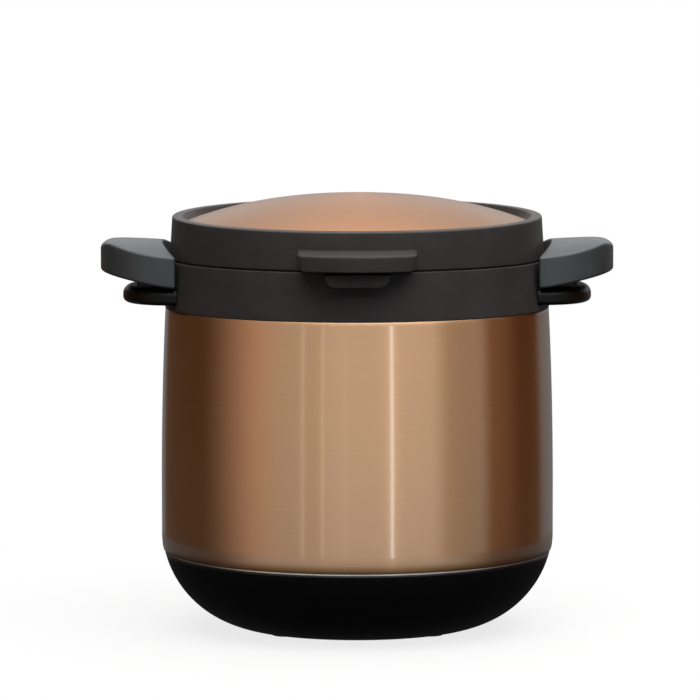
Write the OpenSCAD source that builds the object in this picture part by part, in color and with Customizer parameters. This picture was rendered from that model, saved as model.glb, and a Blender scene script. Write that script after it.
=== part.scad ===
// Thermal cooker: a vacuum-walled body with two side handles, a hinged lid and a lift-out cooking pot.
// Millimetres, +Z up. The origin is on the floor under the middle of the body, the front faces -Y.

/* [Shell] */
// Outer radius of the steel shell under the shoulder ring
shoulder_r = 125.4; // [121:0.1:130]
// How far the shell's widest place stands out beyond its shoulder
belly_out = 3; // [0.8:0.1:6]
// Height of the shell from its lower edge to its shoulder
shell_h = 158.8; // [135:0.1:185]
// Height of the widest place above the shell's lower edge
belly_up = 39; // [30:1:60]
// How far the shell's lower edge rolls in
hem_in = 1.6; // [0.8:0.1:2.4]
// Height over which the lower edge rolls in
hem_h = 11; // [6:0.5:15]
// Radius of the shell's rounded shoulder
shoulder_round = 2.5; // [1.5:0.1:3.5]
// Thickness of the pressed sheet steel
sheet = 0.8; // [0.6:0.1:1.1]
// Width of the vacuum space at the side
vacuum_gap = 10.3; // [9:0.1:13]
// Height of the vacuum space under the inner vessel
vacuum_floor = 11.2; // [8:0.1:14]
// Corner radius at the bottom of the inner vessel
vessel_corner = 30; // [24:1:36]
// Thickness of the foil wrap with its air gaps
foil_t = 0.4; // [0.2:0.1:0.8]
// Radius of the disc that closes the vacuum space
closing_r = 10.5; // [8:0.5:14]
// Thickness of the disc that closes the vacuum space
closing_t = 1.8; // [1:0.1:2.5]
// Radius of the getter
getter_r = 7; // [5:0.5:10]
// Height of the getter
getter_h = 2.8; // [2:0.1:5]
// Distance of the getter from the axis
getter_out = 24; // [18:1:34]

/* [Base] */
// Height of the base cup from its floor to its top edge
cup_h = 46.3; // [42:0.1:52]
// How far the base cup's top edge is set in from the shell's widest place
cup_in = 2.4; // [1.8:0.1:3.5]
// How far the base cup curves in from its top edge to its flat floor
bowl_in = 47; // [42:0.5:50]
// Radius of curvature of the base cup's bowl
bowl_r = 65.8; // [58:0.1:75]
// Wall of the base cup
cup_wall = 2.5; // [2:0.1:3]
// Gap between the bowl and the pressed steel bottom inside it
bowl_gap = 0.4; // [0.3:0.1:1]
// Dark groove between the base cup and the shell
seam_groove = 1.4; // [1:0.1:2.5]
// Room between the cup floor and the steel bottom
boss_room = 8; // [6.5:0.1:10]
// Distance of the base screws from the edge of the cup's floor
boss_in = 31; // [27:1:39]
// Height by which the feet stand out below the base cup
foot_h = 1.5; // [1:0.1:3]
// Radius of a rubber foot
foot_r = 9; // [6:0.5:10]
// Depth of a foot's socket in the cup floor
foot_socket = 1; // [0.5:0.1:1.5]
// Distance of the feet's middles from the edge of the cup's floor
foot_in = 13; // [12:0.5:17]

/* [Shoulder ring] */
// Height of the shoulder ring
ring_h = 33.2; // [31:0.1:40]
// How much narrower the shoulder ring is at its top edge
ring_taper = 2.6; // [1.5:0.1:3.5]
// Wall of the shoulder ring
ring_wall = 3; // [2.4:0.1:3.5]
// Thickness of the shoulder ring's top
ring_top = 3; // [2.4:0.1:4]
// Radius of the shoulder ring's upper edge
ring_edge = 1.5; // [0.5:0.1:2]
// Room between the ring's wall and the neck of the shell
neck_room = 2; // [1.9:0.1:3]
// Height of the silicone ring between the vessel's mouth and the shoulder ring
mouth_seal_h = 4.5; // [3:0.1:6]
// Step from the inner vessel's mouth out to the shoulder ring's hole
mouth_step = 0.4; // [0.2:0.1:1]
// Thickness of a centring rib in the shoulder ring
rib_t = 2; // [1.5:0.1:3]
// Width of the ledge under the lid's tab, at its top
ledge_w = 47; // [38:1:60]
// How far the ledge stands out from the ring
ledge_out = 12; // [8:0.5:16]
// Height of the ledge
ledge_h = 9; // [7:0.1:12]
// Radius of the ledge's lower corners
ledge_round = 6; // [3:0.5:6.5]

/* [Lid] */
// Height of the lid's rim from its lower edge to its crest
lid_h = 27.6; // [24:0.1:34]
// Groove between the shoulder ring and the lid
lid_groove = 1.1; // [0.8:0.1:2]
// How much the lid's lower edge is set in from the shoulder ring
lid_set = 0.3; // [0:0.1:1]
// How much narrower the lid's rim is at its top
lid_taper = 1.7; // [0.5:0.1:3]
// Radius of the lid's rounded upper edge
lid_round = 5; // [3:0.1:6]
// Wall of the lid's rim
lid_wall = 3; // [2.4:0.1:4]
// Width of the lid's rim around the dome
rim_w = 9; // [8:0.1:12]
// Depth of the dome's edge below the crest
dome_drop = 4; // [2:0.1:5]
// Width of the slope from the crest to the dome's edge
rim_slope_w = 2.6; // [1:0.1:3]
// Rise of the dome above its edge
dome_rise = 17.4; // [12:0.1:24]
// Width of the seat under the dome's edge
seat_w = 8; // [5:0.1:12]
// Thickness of the lid's floor and of the dome's seat
floor_t = 3; // [2:0.1:4]
// Width of the lid's floor ring
floor_w = 29; // [24:0.5:34]
// Height of the lid's floor above the rim's lower edge
floor_up = 1; // [0.6:0.1:2]
// Depth of the liner pan below the lid's floor
liner_depth = 7.6; // [5:0.1:10]
// Wall of the liner pan
liner_wall = 1.5; // [1.2:0.1:2.2]
// Gap between the lid's wall and the liner pan, where the lid seal lies
seal_lane = 11.5; // [10:0.1:14]
// Width of the lid seal
lid_seal_w = 8; // [5:0.1:9]
// Gap between the lid's wall and the lid seal
lid_seal_in = 1; // [0.5:0.1:2]
// Distance of the liner screws from the pan's edge
liner_screw_in = 10; // [8:0.5:12]
// Number of liner screws
liner_screw_n = 6; // [4:1:8]
// Width of the front tab
tab_w = 77; // [60:1:90]
// How far the front tab stands out at its middle
tab_out = 20; // [14:0.5:26]
// How far the front tab's ends lie behind its middle
tab_bow = 10.5; // [4:0.5:12]
// Height of the front tab at the rim
tab_root_h = 13.6; // [10:0.1:18]
// Height of the front tab at its front
tab_tip_h = 7.6; // [5:0.1:9]

/* [Hinge] */
// Distance from the lid's rim back to the hinge axis
hinge_back = 12; // [11.5:0.1:16]
// Radius of the hinge knuckles
knuckle_r = 8; // [6.5:0.1:8.5]
// Length of the lid's knuckle
knuckle_w = 50; // [36:1:60]
// Length of each outer knuckle
ear_w = 12; // [8:0.5:16]
// Radius of the hinge pin
pin_r = 2.5; // [2:0.1:3.5]
// Radius of the pin's head
pin_head_r = 4.2; // [3.9:0.1:5.5]
// Thickness of the pin's head
pin_head_t = 1.8; // [1:0.1:3]
// Angle to which the lid opens
lid_open = 95; // [80:1:105]
// Thickness of the lid's hinge arm
arm_t = 7.4; // [5:0.1:7.6]
// Angle between the hinge bracket's two screws, seen from above
hinge_screw_a = 18; // [12:1:24]
// Length of the lid's stop beyond its knuckle
stop_out = 2.4; // [1.5:0.1:3]
// Width of the lid's stop
stop_w = 16; // [8:1:24]
// Thickness of the lid's stop
stop_t = 3; // [2:0.1:4]
// Gap between the lid's knuckle and the block below it
knuckle_gap = 0.7; // [0.5:0.1:1.5]
// Height of the hinge bracket's lower face above the shoulder ring's lower edge
hinge_up = 6; // [3:0.5:9]

/* [Handles] */
// How far a handle reaches out from the shell's shoulder
grip_out = 42.1; // [36:0.1:50]
// Width of a handle where it meets the body
grip_w = 90; // [76:1:100]
// Gap between a handle's grip and the shoulder ring
grip_gap = 2.7; // [2:0.1:4]
// Height of a grip's crown above the shoulder ring's top edge
crown_up = 13.2; // [10:0.1:16]
// Fall of the crown toward the body
crown_fall = 3; // [1:0.1:5]
// Length of the rounded outer end of a grip
nose_l = 20.5; // [14:0.5:24]
// Height of the rounded outer end above its upright face
nose_h = 8; // [5:0.1:10]
// Radius of the crown across a grip
crown_r = 165; // [120:1:240]
// Depth of a grip's underside below the shoulder ring's top edge, at the body
under_down = 18; // [16:0.1:21]
// Radius of curvature of a grip's underside
under_r = 150; // [120:1:220]
// How far a bracket reaches out from the shell's shoulder
bracket_out = 27.6; // [24:0.1:33]
// Width of a bracket where it meets the shoulder ring
bracket_w = 84; // [70:1:90]
// Thickness of a bracket
bracket_t = 7.6; // [6:0.1:8]
// Size of the slanted edge of a bracket
bracket_edge = 3; // [1:0.1:3]
// Height of a bracket above the shoulder ring's lower edge
bracket_up = 6; // [4:0.1:7.5]
// Length of the saddle on a bracket that carries the grip
saddle_l = 14; // [10:0.5:16]
// Width of the saddle on a bracket that carries the grip
saddle_w = 60; // [50:1:66]
// Distance from a grip's inner face to the saddle
saddle_in = 2; // [1:0.1:4]
// Depth to which the grip screws bite into a grip
grip_bite = 6; // [4:0.5:10]
// Distance between the two grip screws
grip_screw_gap = 40; // [30:1:48]
// Angle between a bracket's two screws, seen from above
bracket_screw_a = 22; // [16:1:26]

/* [Cooking pot] */
// Gap between the cooking pot and the inner vessel
pot_gap = 8.2; // [7.6:0.1:11]
// Depth of the pot's rim below the vessel's mouth
pot_drop = 31; // [28:0.5:38]
// Width of the pot's rolled rim
pot_rim_w = 3.2; // [2.4:0.1:3.6]
// Corner radius at the bottom of the pot
pot_corner = 22; // [18:1:26]
// Thickness of the pot's heat-spreading base disc
disc_t = 5; // [3:0.1:7]
// How far the base disc is set in from the pot's side
disc_in = 25.3; // [23.3:0.1:35]
// Rise of the pot lid's dome
pot_lid_rise = 10; // [6:0.1:13]
// Depth of the pot lid's skirt inside the rim
skirt_h = 5; // [3:0.1:8]
// Gap between the pot lid's skirt and the pot's wall
skirt_gap = 1; // [0.6:0.1:2]
// Radius of the pot lid's knob
knob_r = 19; // [14:0.5:24]
// Height of the pot lid's knob
knob_h = 15; // [12:0.1:18]
// Radius of the knob's neck
knob_neck_r = 9; // [7:0.1:12]
// Thickness of the washer under the knob
washer_t = 1; // [0.6:0.1:1.5]
// Angle that a pot handle spans, seen from above
loop_a = 34; // [28:1:44]
// Width of a pot handle's strap arm, as an angle
arm_a = 5; // [4:0.5:8]
// Thickness of a pot handle's strap
strap_t = 2; // [1.5:0.1:2.3]
// Height of the strap's pad on the pot
pad_h = 26; // [20:1:36]
// Depth of the strap's bend below the pot's rim
bend_down = 10; // [7:0.5:14]
// Height of the finger gap between the pot's rim and the handle's grip
finger_gap = 16; // [12:0.5:18]
// Height of a pot handle's grip
loop_h = 10; // [8:0.1:12]
// Thickness of a pot handle's grip, measured outward
loop_t = 6.6; // [5.5:0.1:7]
// Cover of a pot handle's grip outside its strap
loop_cover = 1.2; // [0.8:0.1:1.5]
// Gap between the pot's rim and a strap's arms
strap_gap = 0.6; // [0.3:0.1:0.9]

/* [Fasteners and fits] */
// Radius of a screw's shank
screw_r = 2; // [1.5:0.1:2.2]
// Radius of a screw's head
screw_head_r = 3.5; // [3:0.1:4]
// Height of a screw's head
screw_head_h = 1.8; // [1.2:0.1:1.8]
// Length of the shanks of the screws through the shoulder ring's wall
wall_screw_l = 13; // [10:0.5:15]
// Wall around a screw hole in a boss
boss_wall = 2.5; // [2:0.1:3]
// Radius of a rivet's shank
rivet_r = 2.5; // [2:0.1:3]
// Radius of a rivet's head
rivet_head_r = 4.5; // [3.8:0.1:5]
// Height of a rivet's head
rivet_head_h = 1.4; // [1:0.1:2]
// Gap around a screw or rivet in its hole
hole_gap = 0.15; // [0.1:0.05:0.3]
// Gap between pieces that sit on each other
fit = 0.1; // [0.05:0.01:0.15]
// Gap between the hinge pin and the lid's knuckle
pin_gap = 0.06; // [0.03:0.01:0.1]
// Gap between pieces that move past each other
run = 0.3; // [0.2:0.05:0.5]

/* [Hidden] */
$fn = 144;
ARC_STEPS = 8;
CURVE_STEPS = 14;
TINY = 0.01;
// Share of a screw's shank radius and head height that its socket takes
SOCKET = 0.6;
// Fullness of the oval noses: 2 is an ellipse, more is squarer
NOSE_POWER = 2.3;
COPPER = [0.68, 0.53, 0.41];
STEEL = [0.74, 0.74, 0.73];
DARK = [0.17, 0.16, 0.16];
BLACK = [0.05, 0.05, 0.06];
GREY = [0.27, 0.30, 0.32];
SILICONE = [0.55, 0.55, 0.53];
FOAM = [0.86, 0.85, 0.80];

// Heights, from the floor up
floor_z = foot_h;
cup_z = floor_z + cup_h;
hem_z = cup_z + seam_groove;
belly_z = hem_z + belly_up;
shoulder_z = hem_z + shell_h;
ring_z = shoulder_z + fit;
ring_top_z = ring_z + ring_h;
lid_z = ring_top_z + lid_groove;
crest_z = lid_z + lid_h;
dome_edge_z = crest_z - dome_drop;
apex_z = dome_edge_z + dome_rise;
plate_z = floor_z + cup_wall + boss_room;
vessel_z = plate_z + sheet + vacuum_floor;
mouth_z = ring_top_z - ring_top - mouth_seal_h - 2 * fit;
neck_z = mouth_z - sheet - fit;
disc_z = vessel_z + sheet + fit;
pot_z = disc_z + disc_t + fit;
pot_rim_z = mouth_z - pot_drop;
pot_lid_z = pot_rim_z + fit;
pot_apex_z = pot_lid_z + sheet + pot_lid_rise;
lid_floor_z = lid_z + floor_up;
liner_z = lid_floor_z - liner_depth;
loop_z = pot_rim_z + finger_gap;

// Radii, from the shell in
belly_r = shoulder_r + belly_out;
cup_top_r = belly_r - cup_in;
cup_floor_r = cup_top_r - bowl_in;
boss_circle_r = cup_floor_r - boss_in;
foot_circle_r = cup_floor_r - foot_in;
ring_r = shoulder_r - fit;
ring_top_r = ring_r - ring_taper;
neck_r = ring_top_r - ring_wall - neck_room;
vessel_r = shoulder_r - sheet - vacuum_gap;
vessel_in_r = vessel_r - sheet;
pot_r = vessel_in_r - pot_gap;
pot_rim_r = pot_r + pot_rim_w;
disc_r = pot_r - disc_in;
skirt_r = pot_r - sheet - skirt_gap;
ring_hole_r = vessel_in_r + mouth_step;
lid_r = ring_top_r - lid_set;
lid_top_r = lid_r - lid_taper;
dome_r = lid_top_r - rim_w;
dome_R = (pow(dome_r, 2) + pow(dome_rise, 2)) / (2 * dome_rise);
seat_r = dome_r - seat_w;
liner_r = lid_r - lid_wall - seal_lane;
liner_screw_r = liner_r - liner_wall - liner_screw_in;
lid_seal_r = lid_r - lid_wall - lid_seal_in;
strap_r = pot_rim_r + strap_gap;
loop_out_r = strap_r + strap_t + loop_cover;

// Bowl of the base: the centre of the arc through the cup's top edge and its floor's edge
bowl_chord = [bowl_in, cup_h];
bowl_sag = sqrt(pow(bowl_r, 2) - pow(norm(bowl_chord) / 2, 2));
bowl_c = [cup_floor_r, floor_z] + bowl_chord / 2
    + bowl_sag * [-bowl_chord[1], bowl_chord[0]] / norm(bowl_chord);
steel_bowl_r = bowl_r - cup_wall - bowl_gap;
flange_r = belly_r - hem_in - sheet - 2 * fit;

// Hinge axis, and the angle of the lid's stop that meets the bracket when the lid is open
hinge_y = lid_r + hinge_back;
hinge_z = lid_z;
block_top_z = hinge_z - knuckle_r - knuckle_gap;
ear_x = knuckle_w / 2 + run;
ear_out_x = ear_x + ear_w;
stop_l = knuckle_r + stop_out;
stop_a = lid_open - asin((knuckle_r + knuckle_gap - run) / norm([stop_l, stop_t / 2]))
    + atan2(stop_t / 2, stop_l);

// Handles: reach from the axis, and the places of the screws
grip_tip_x = shoulder_r + grip_out;
grip_in_r = ring_r + grip_gap - ring_taper / 2;
grip_root_x = sqrt(pow(grip_in_r, 2) - pow(grip_w / 2, 2));
nose_x = grip_tip_x - nose_l;
crown_z = ring_top_z + crown_up;
under_z = ring_top_z - under_down;
bracket_tip_x = shoulder_r + bracket_out;
bracket_root_x = sqrt(pow(ring_r, 2) - pow(bracket_w / 2, 2));
bracket_z = ring_z + bracket_up;
saddle_x = grip_in_r + saddle_in;
grip_screw_x = saddle_x + saddle_l / 2;
grip_screw_l = bracket_t + grip_bite;
bracket_screw_z = bracket_z + bracket_t / 2;
hinge_block_z = ring_z + hinge_up;
hinge_screw_z = (hinge_block_z + block_top_z) / 2;
FOOT_ANGLES = [45, 135, 225, 315];
BOSS_ANGLES = [90, 210, 330];
RIB_ANGLES = [15:30:345];

// Points along an ellipse's arc round a centre, from one angle to another
function arc(c, rx, ry, a0, a1, n = ARC_STEPS) =
    [for (i = [0:n]) let (a = a0 + (a1 - a0) * i / n) c + [rx * cos(a), ry * sin(a)]];

// Points along a round arc
function round_arc(c, r, a0, a1, n = ARC_STEPS) = arc(c, r, r, a0, a1, n);

// The points of a list in the other order
function reversed(p) = [for (i = [len(p) - 1:-1:0]) p[i]];

// Outer radius of the shell between its hem and its shoulder: two parabolas that meet at the belly
function shell_r(z) = z > belly_z
    ? belly_r - (belly_r - shoulder_r) * pow((z - belly_z) / (shoulder_z - belly_z), 2)
    : belly_r;

// Side of the shell from the hem up to the shoulder, set in by a distance
function shell_side(inset) = concat(
    arc([belly_r - hem_in - inset, hem_z + hem_h], hem_in, hem_h, -90, 0),
    [for (i = [0:CURVE_STEPS])
        let (z = belly_z + (shoulder_z - shoulder_round - belly_z) * i / CURVE_STEPS)
            [shell_r(z) - inset, z]]
);

// Arc of the bowl at a radius of curvature, from a floor's height up to a top height
function bowl_arc(r, z0, z1) = round_arc(
    bowl_c, r, -asin((bowl_c[1] - z0) / r), -asin((bowl_c[1] - z1) / r), CURVE_STEPS);

// Outer radius of the shoulder ring at a height
function ring_r_at(z) = ring_r - ring_taper * (z - ring_z) / ring_h;

// Height of the dome's outer face at a radius
function dome_z(r) = apex_z - dome_R + sqrt(pow(dome_R, 2) - pow(r, 2));

// Height of the pot lid's outer face at a radius
function pot_lid_top(r) =
    let (R = (pow(skirt_r, 2) + pow(pot_lid_rise, 2)) / (2 * pot_lid_rise))
        pot_apex_z - R + sqrt(pow(R, 2) - pow(r, 2));

// Half of a rounded D seen from above: straight sides from the body, then an oval nose
function d_plan(x0, root_x, tip_x, w) = concat(
    [[x0, -w / 2]],
    [for (i = [0:4 * ARC_STEPS]) let (a = -90 + 180 * i / (4 * ARC_STEPS))
        [root_x + (tip_x - root_x) * pow(max(cos(a), 0), 2 / NOSE_POWER),
            sign(a) * w / 2 * pow(abs(sin(a)), 2 / NOSE_POWER)]],
    [[x0, w / 2]]
);

// Underside of a grip seen from the front, from the axis out to the tip, lowered by a distance
function grip_under(drop) = concat(
    [[0, under_z - drop]],
    round_arc([grip_root_x, under_z + under_r - drop], under_r,
        -90, asin((grip_tip_x - grip_root_x) / under_r) - 90)
);

// Outline of a grip seen from the front: rising underside, upright end, rounded nose and crown
function grip_side() = concat(
    grip_under(0),
    arc([nose_x, crown_z - nose_h], nose_l, nose_h, 0, 82),
    [[nose_x, crown_z], [0, crown_z - crown_fall]]
);

// A solid turned about the vertical axis from its outline
module turned(points) {
    rotate_extrude()
        polygon(points);
}

// A sector of a turned solid, its middle toward +X
module sector(points, span) {
    rotate([0, 0, -span / 2])
        rotate_extrude(angle = span)
            polygon(points);
}

// A screw with a hexagonal socket: the head starts at the origin and the shank points up
module screw(length) {
    difference() {
        union() {
            cylinder(r = screw_head_r, h = screw_head_h);
            cylinder(r = screw_r, h = screw_head_h + length);
        }
        translate([0, 0, -TINY])
            cylinder(r = SOCKET * screw_r, h = SOCKET * screw_head_h, $fn = 6);
    }
}

// Places children on a level line that runs out from the axis at an angle, from a radius and a height
module outward(angle, r, z) {
    rotate([0, 0, angle])
        translate([r, 0, z])
            rotate([0, 90, 0])
                children();
}

// The screws through the shoulder ring's wall, or their holes, at two angles about a direction
module wall_pair(direction, spread, z) {
    seat_in_r = ring_r_at(z + screw_head_r) - ring_wall - 2 * fit;
    for (side = [-1, 1])
        outward(direction + side * spread / 2, seat_in_r - screw_head_h, z)
            children();
}

module wall_holes(direction, spread, z) {
    wall_pair(direction, spread, z)
        cylinder(r = screw_r + hole_gap, h = screw_head_h + wall_screw_l + 1);
}

// The space inside the shoulder ring's outer face, which the pieces on the ring are cut to
module ring_space() {
    turned([
        [0, ring_z - ring_h],
        [ring_r_at(ring_z - ring_h) + fit, ring_z - ring_h],
        [ring_r_at(ring_top_z + ring_h) + fit, ring_top_z + ring_h],
        [0, ring_top_z + ring_h]
    ]);
}

module base_cup() {
    color(BLACK)
        difference() {
            union() {
                turned(concat(
                    [[0, floor_z]],
                    bowl_arc(bowl_r, floor_z, cup_z),
                    reversed(bowl_arc(bowl_r - cup_wall, floor_z + cup_wall, cup_z)),
                    [[0, floor_z + cup_wall]]
                ));
                for (a = BOSS_ANGLES)
                    rotate([0, 0, a])
                        translate([boss_circle_r, 0, floor_z])
                            cylinder(r = screw_head_r + boss_wall, h = cup_wall + boss_room / 2);
            }
            for (a = BOSS_ANGLES)
                rotate([0, 0, a])
                    translate([boss_circle_r, 0, floor_z]) {
                        cylinder(r = screw_r + hole_gap, h = cup_wall + boss_room);
                        translate([0, 0, -TINY])
                            cylinder(r = screw_head_r + 2 * hole_gap, h = cup_wall + TINY);
                    }
            for (a = FOOT_ANGLES)
                rotate([0, 0, a])
                    translate([foot_circle_r, 0, floor_z - TINY])
                        cylinder(r = foot_r + fit, h = foot_socket + TINY);
        }
}

module rubber_feet() {
    color(DARK)
        for (a = FOOT_ANGLES)
            rotate([0, 0, a])
                translate([foot_circle_r, 0, 0])
                    cylinder(r = foot_r, h = foot_h + foot_socket);
}

module base_screws() {
    color(STEEL)
        for (a = BOSS_ANGLES)
            rotate([0, 0, a])
                translate([boss_circle_r, 0, floor_z + cup_wall - screw_head_h])
                    screw(boss_room - 2 * fit);
}

module weld_nuts() {
    color(STEEL)
        for (a = BOSS_ANGLES)
            rotate([0, 0, a])
                translate([boss_circle_r, 0, floor_z + cup_wall + boss_room / 2 + fit])
                    difference() {
                        cylinder(r = screw_head_r + 1, h = boss_room / 2 - fit, $fn = 6);
                        translate([0, 0, -1])
                            cylinder(r = screw_r + hole_gap, h = boss_room);
                    }
}

module steel_bottom() {
    color(STEEL)
        turned(concat(
            [[0, plate_z]],
            bowl_arc(steel_bowl_r, plate_z, cup_z),
            [
                [bowl_arc(steel_bowl_r, plate_z, cup_z)[CURVE_STEPS][0], cup_z + fit],
                [flange_r, cup_z + fit],
                [flange_r, hem_z + hem_h / 2],
                [flange_r - sheet, hem_z + hem_h / 2],
                [flange_r - sheet, cup_z + fit + sheet],
                [bowl_arc(steel_bowl_r - sheet, plate_z, cup_z)[CURVE_STEPS][0], cup_z + fit + sheet]
            ],
            reversed(bowl_arc(steel_bowl_r - sheet, plate_z + sheet, cup_z)),
            [[0, plate_z + sheet]]
        ));
}

module vacuum_seal() {
    color(STEEL)
        translate([0, 0, plate_z - closing_t])
            cylinder(r = closing_r, h = closing_t);
}

module getter() {
    color(DARK)
        translate([getter_out, 0, plate_z + sheet])
            difference() {
                cylinder(r = getter_r, h = getter_h);
                translate([0, 0, getter_h / 2])
                    cylinder(r = getter_r / 2, h = getter_h);
            }
}

module outer_shell() {
    in_round = shoulder_round - sheet;
    corner = [shoulder_r - shoulder_round, shoulder_z - shoulder_round];
    color(COPPER)
        turned(concat(
            shell_side(0),
            round_arc(corner, shoulder_round, 0, 90),
            [
                [neck_r, shoulder_z],
                [neck_r, neck_z],
                [vessel_r + fit, neck_z],
                [vessel_r + fit, neck_z - sheet],
                [neck_r - sheet, neck_z - sheet],
                [neck_r - sheet, shoulder_z - sheet]
            ],
            round_arc(corner, in_round, 90, 0),
            reversed(shell_side(sheet))
        ));
}

module inner_vessel() {
    c = [vessel_r - vessel_corner, vessel_z + vessel_corner];
    color(STEEL)
        turned(concat(
            [[0, vessel_z]],
            round_arc(c, vessel_corner, -90, 0),
            [
                [vessel_r, mouth_z - sheet],
                [neck_r, mouth_z - sheet],
                [neck_r, mouth_z],
                [vessel_in_r, mouth_z]
            ],
            round_arc(c, vessel_corner - sheet, 0, -90),
            [[0, vessel_z + sheet]]
        ));
}

module foil_wrap() {
    color(COPPER)
        translate([0, 0, vessel_z + vessel_corner])
            difference() {
                cylinder(r = vessel_r + fit + foil_t, h = shoulder_z - vessel_z - 2 * vessel_corner);
                translate([0, 0, -1])
                    cylinder(r = vessel_r + fit, h = shoulder_z);
            }
}

module mouth_seal() {
    color(SILICONE)
        translate([0, 0, mouth_z + fit])
            difference() {
                cylinder(r = neck_r - fit, h = mouth_seal_h);
                translate([0, 0, -1])
                    cylinder(r = ring_hole_r, h = mouth_seal_h + 2);
            }
}

// The ledge's outline from the front, with its lower corners rounded
module ledge_face() {
    half = ledge_w / 2 - ledge_round;
    low = ring_top_z - ledge_h + ledge_round;
    polygon(concat(
        [[-ledge_w / 2, ring_top_z - fit]],
        round_arc([-half, low], ledge_round, 180, 270),
        round_arc([half, low], ledge_round, 270, 360),
        [[ledge_w / 2, ring_top_z - fit]]
    ));
}

module shoulder_ring() {
    in_r = ring_r - ring_wall;
    in_top_r = ring_top_r - ring_wall;
    under_top_z = ring_top_z - ring_top;
    color(DARK)
        difference() {
            union() {
                turned(concat(
                    [[in_r, ring_z], [ring_r, ring_z]],
                    round_arc([ring_top_r - ring_edge, ring_top_z - ring_edge], ring_edge, 0, 90),
                    [
                        [ring_hole_r, ring_top_z],
                        [ring_hole_r, under_top_z],
                        [in_top_r, under_top_z]
                    ]
                ));
                for (a = RIB_ANGLES)
                    rotate([0, 0, a])
                        translate([neck_r + fit, -rib_t / 2, shoulder_z + 2])
                            cube([ring_wall / 2 + in_top_r - neck_r, rib_t, under_top_z - shoulder_z - 1]);
                difference() {
                    translate([0, -ring_top_r + ring_wall / 2, 0])
                        rotate([90, 0, 0])
                            linear_extrude(ledge_out + ring_wall / 2)
                                ledge_face();
                    translate([0, 0, ring_z])
                        cylinder(r = ring_top_r - ring_wall / 2, h = 2 * ring_h);
                }
            }
            wall_holes(0, bracket_screw_a, bracket_screw_z);
            wall_holes(180, bracket_screw_a, bracket_screw_z);
            wall_holes(90, hinge_screw_a, hinge_screw_z);
        }
}

// A flat D of the bracket's outline, set in at its edge
module bracket_layer(inset, z, t) {
    translate([0, 0, z])
        linear_extrude(t)
            polygon(d_plan(0, bracket_root_x, bracket_tip_x - inset, bracket_w - 2 * inset));
}

module handle_bracket() {
    color(BLACK)
        difference() {
            union() {
                hull() {
                    bracket_layer(0, bracket_z + bracket_edge, bracket_t - 2 * bracket_edge);
                    bracket_layer(bracket_edge, bracket_z, bracket_t);
                }
                difference() {
                    translate([saddle_x, -saddle_w / 2, bracket_z + bracket_t / 2])
                        cube([saddle_l, saddle_w, crown_z - bracket_z]);
                    rotate([90, 0, 0])
                        linear_extrude(2 * grip_w, center = true)
                            polygon(concat(
                                grip_under(fit),
                                [[grip_tip_x, 2 * crown_z], [0, 2 * crown_z]]
                            ));
                }
            }
            ring_space();
            wall_holes(0, bracket_screw_a, bracket_screw_z);
            grip_screw_places() {
                cylinder(r = screw_r + hole_gap, h = crown_z);
                translate([0, 0, -bracket_t])
                    cylinder(r = screw_head_r + 2 * hole_gap, h = bracket_t + screw_head_h);
            }
        }
}

// The two screws that hold a grip on its bracket, from below
module grip_screw_places() {
    for (side = [-1, 1])
        translate([grip_screw_x, side * grip_screw_gap / 2, bracket_z])
            children();
}

module handle_grip() {
    color(GREY)
        difference() {
            intersection() {
                linear_extrude(2 * crown_z)
                    polygon(d_plan(0, grip_root_x, grip_tip_x, grip_w));
                rotate([90, 0, 0])
                    linear_extrude(2 * grip_w, center = true)
                        polygon(grip_side());
                translate([nose_x, 0, crown_z - crown_r])
                    rotate([0, 90 - atan2(crown_fall, nose_x), 0])
                        cylinder(r = crown_r, h = 4 * grip_tip_x, center = true);
            }
            cylinder(r = grip_in_r, h = 2 * crown_z);
            grip_screw_places()
                cylinder(r = screw_r + hole_gap, h = screw_head_h + grip_screw_l + 1);
        }
}

module bracket_screws() {
    color(STEEL)
        for (side = [0, 180])
            wall_pair(side, bracket_screw_a, bracket_screw_z)
                screw(wall_screw_l);
}

module grip_screws() {
    color(STEEL)
        for (side = [0, 1])
            mirror([side, 0, 0])
                grip_screw_places()
                    screw(grip_screw_l);
}

// A solid cylinder along the hinge axis between two places across the body
module on_axis(x0, x1, r) {
    translate([x0, hinge_y, hinge_z])
        rotate([0, 90, 0])
            cylinder(r = r, h = x1 - x0);
}

module hinge_bracket() {
    back_y = hinge_y + knuckle_r;
    slope = back_y - hinge_y;
    color(DARK)
        difference() {
            union() {
                translate([-ear_out_x, 0, 0])
                    rotate([90, 0, 90])
                        linear_extrude(2 * ear_out_x)
                            polygon([
                                [ring_top_r - ring_wall - hinge_back, hinge_block_z],
                                [back_y - slope, hinge_block_z],
                                [back_y, hinge_block_z + slope],
                                [back_y, block_top_z],
                                [ring_top_r - ring_wall - hinge_back, block_top_z]
                            ]);
                for (side = [-1, 1])
                    translate([side * (ear_x + ear_w / 2), hinge_y, 0])
                        translate([-ear_w / 2, -knuckle_r, block_top_z - 1])
                            cube([ear_w, 2 * knuckle_r, hinge_z - block_top_z + 1]);
                on_axis(-ear_out_x, -ear_x, knuckle_r);
                on_axis(ear_x, ear_out_x, knuckle_r);
            }
            ring_space();
            on_axis(-ear_out_x - 1, ear_out_x + 1, pin_r + fit / 4);
            wall_holes(90, hinge_screw_a, hinge_screw_z);
        }
}

module hinge_screws() {
    color(STEEL)
        wall_pair(90, hinge_screw_a, hinge_screw_z)
            screw(wall_screw_l);
}

module hinge_pin() {
    color(STEEL) {
        on_axis(-ear_out_x - fit - pin_head_t, -ear_out_x - fit, pin_head_r);
        on_axis(-ear_out_x - fit - TINY, ear_out_x + fit + 2 * pin_head_t, pin_r);
    }
}

module pin_clip() {
    color(STEEL)
        difference() {
            on_axis(ear_out_x + fit, ear_out_x + fit + pin_head_t / 2, pin_head_r);
            on_axis(ear_out_x, ear_out_x + pin_head_t, pin_r + fit / 4);
        }
}

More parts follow.
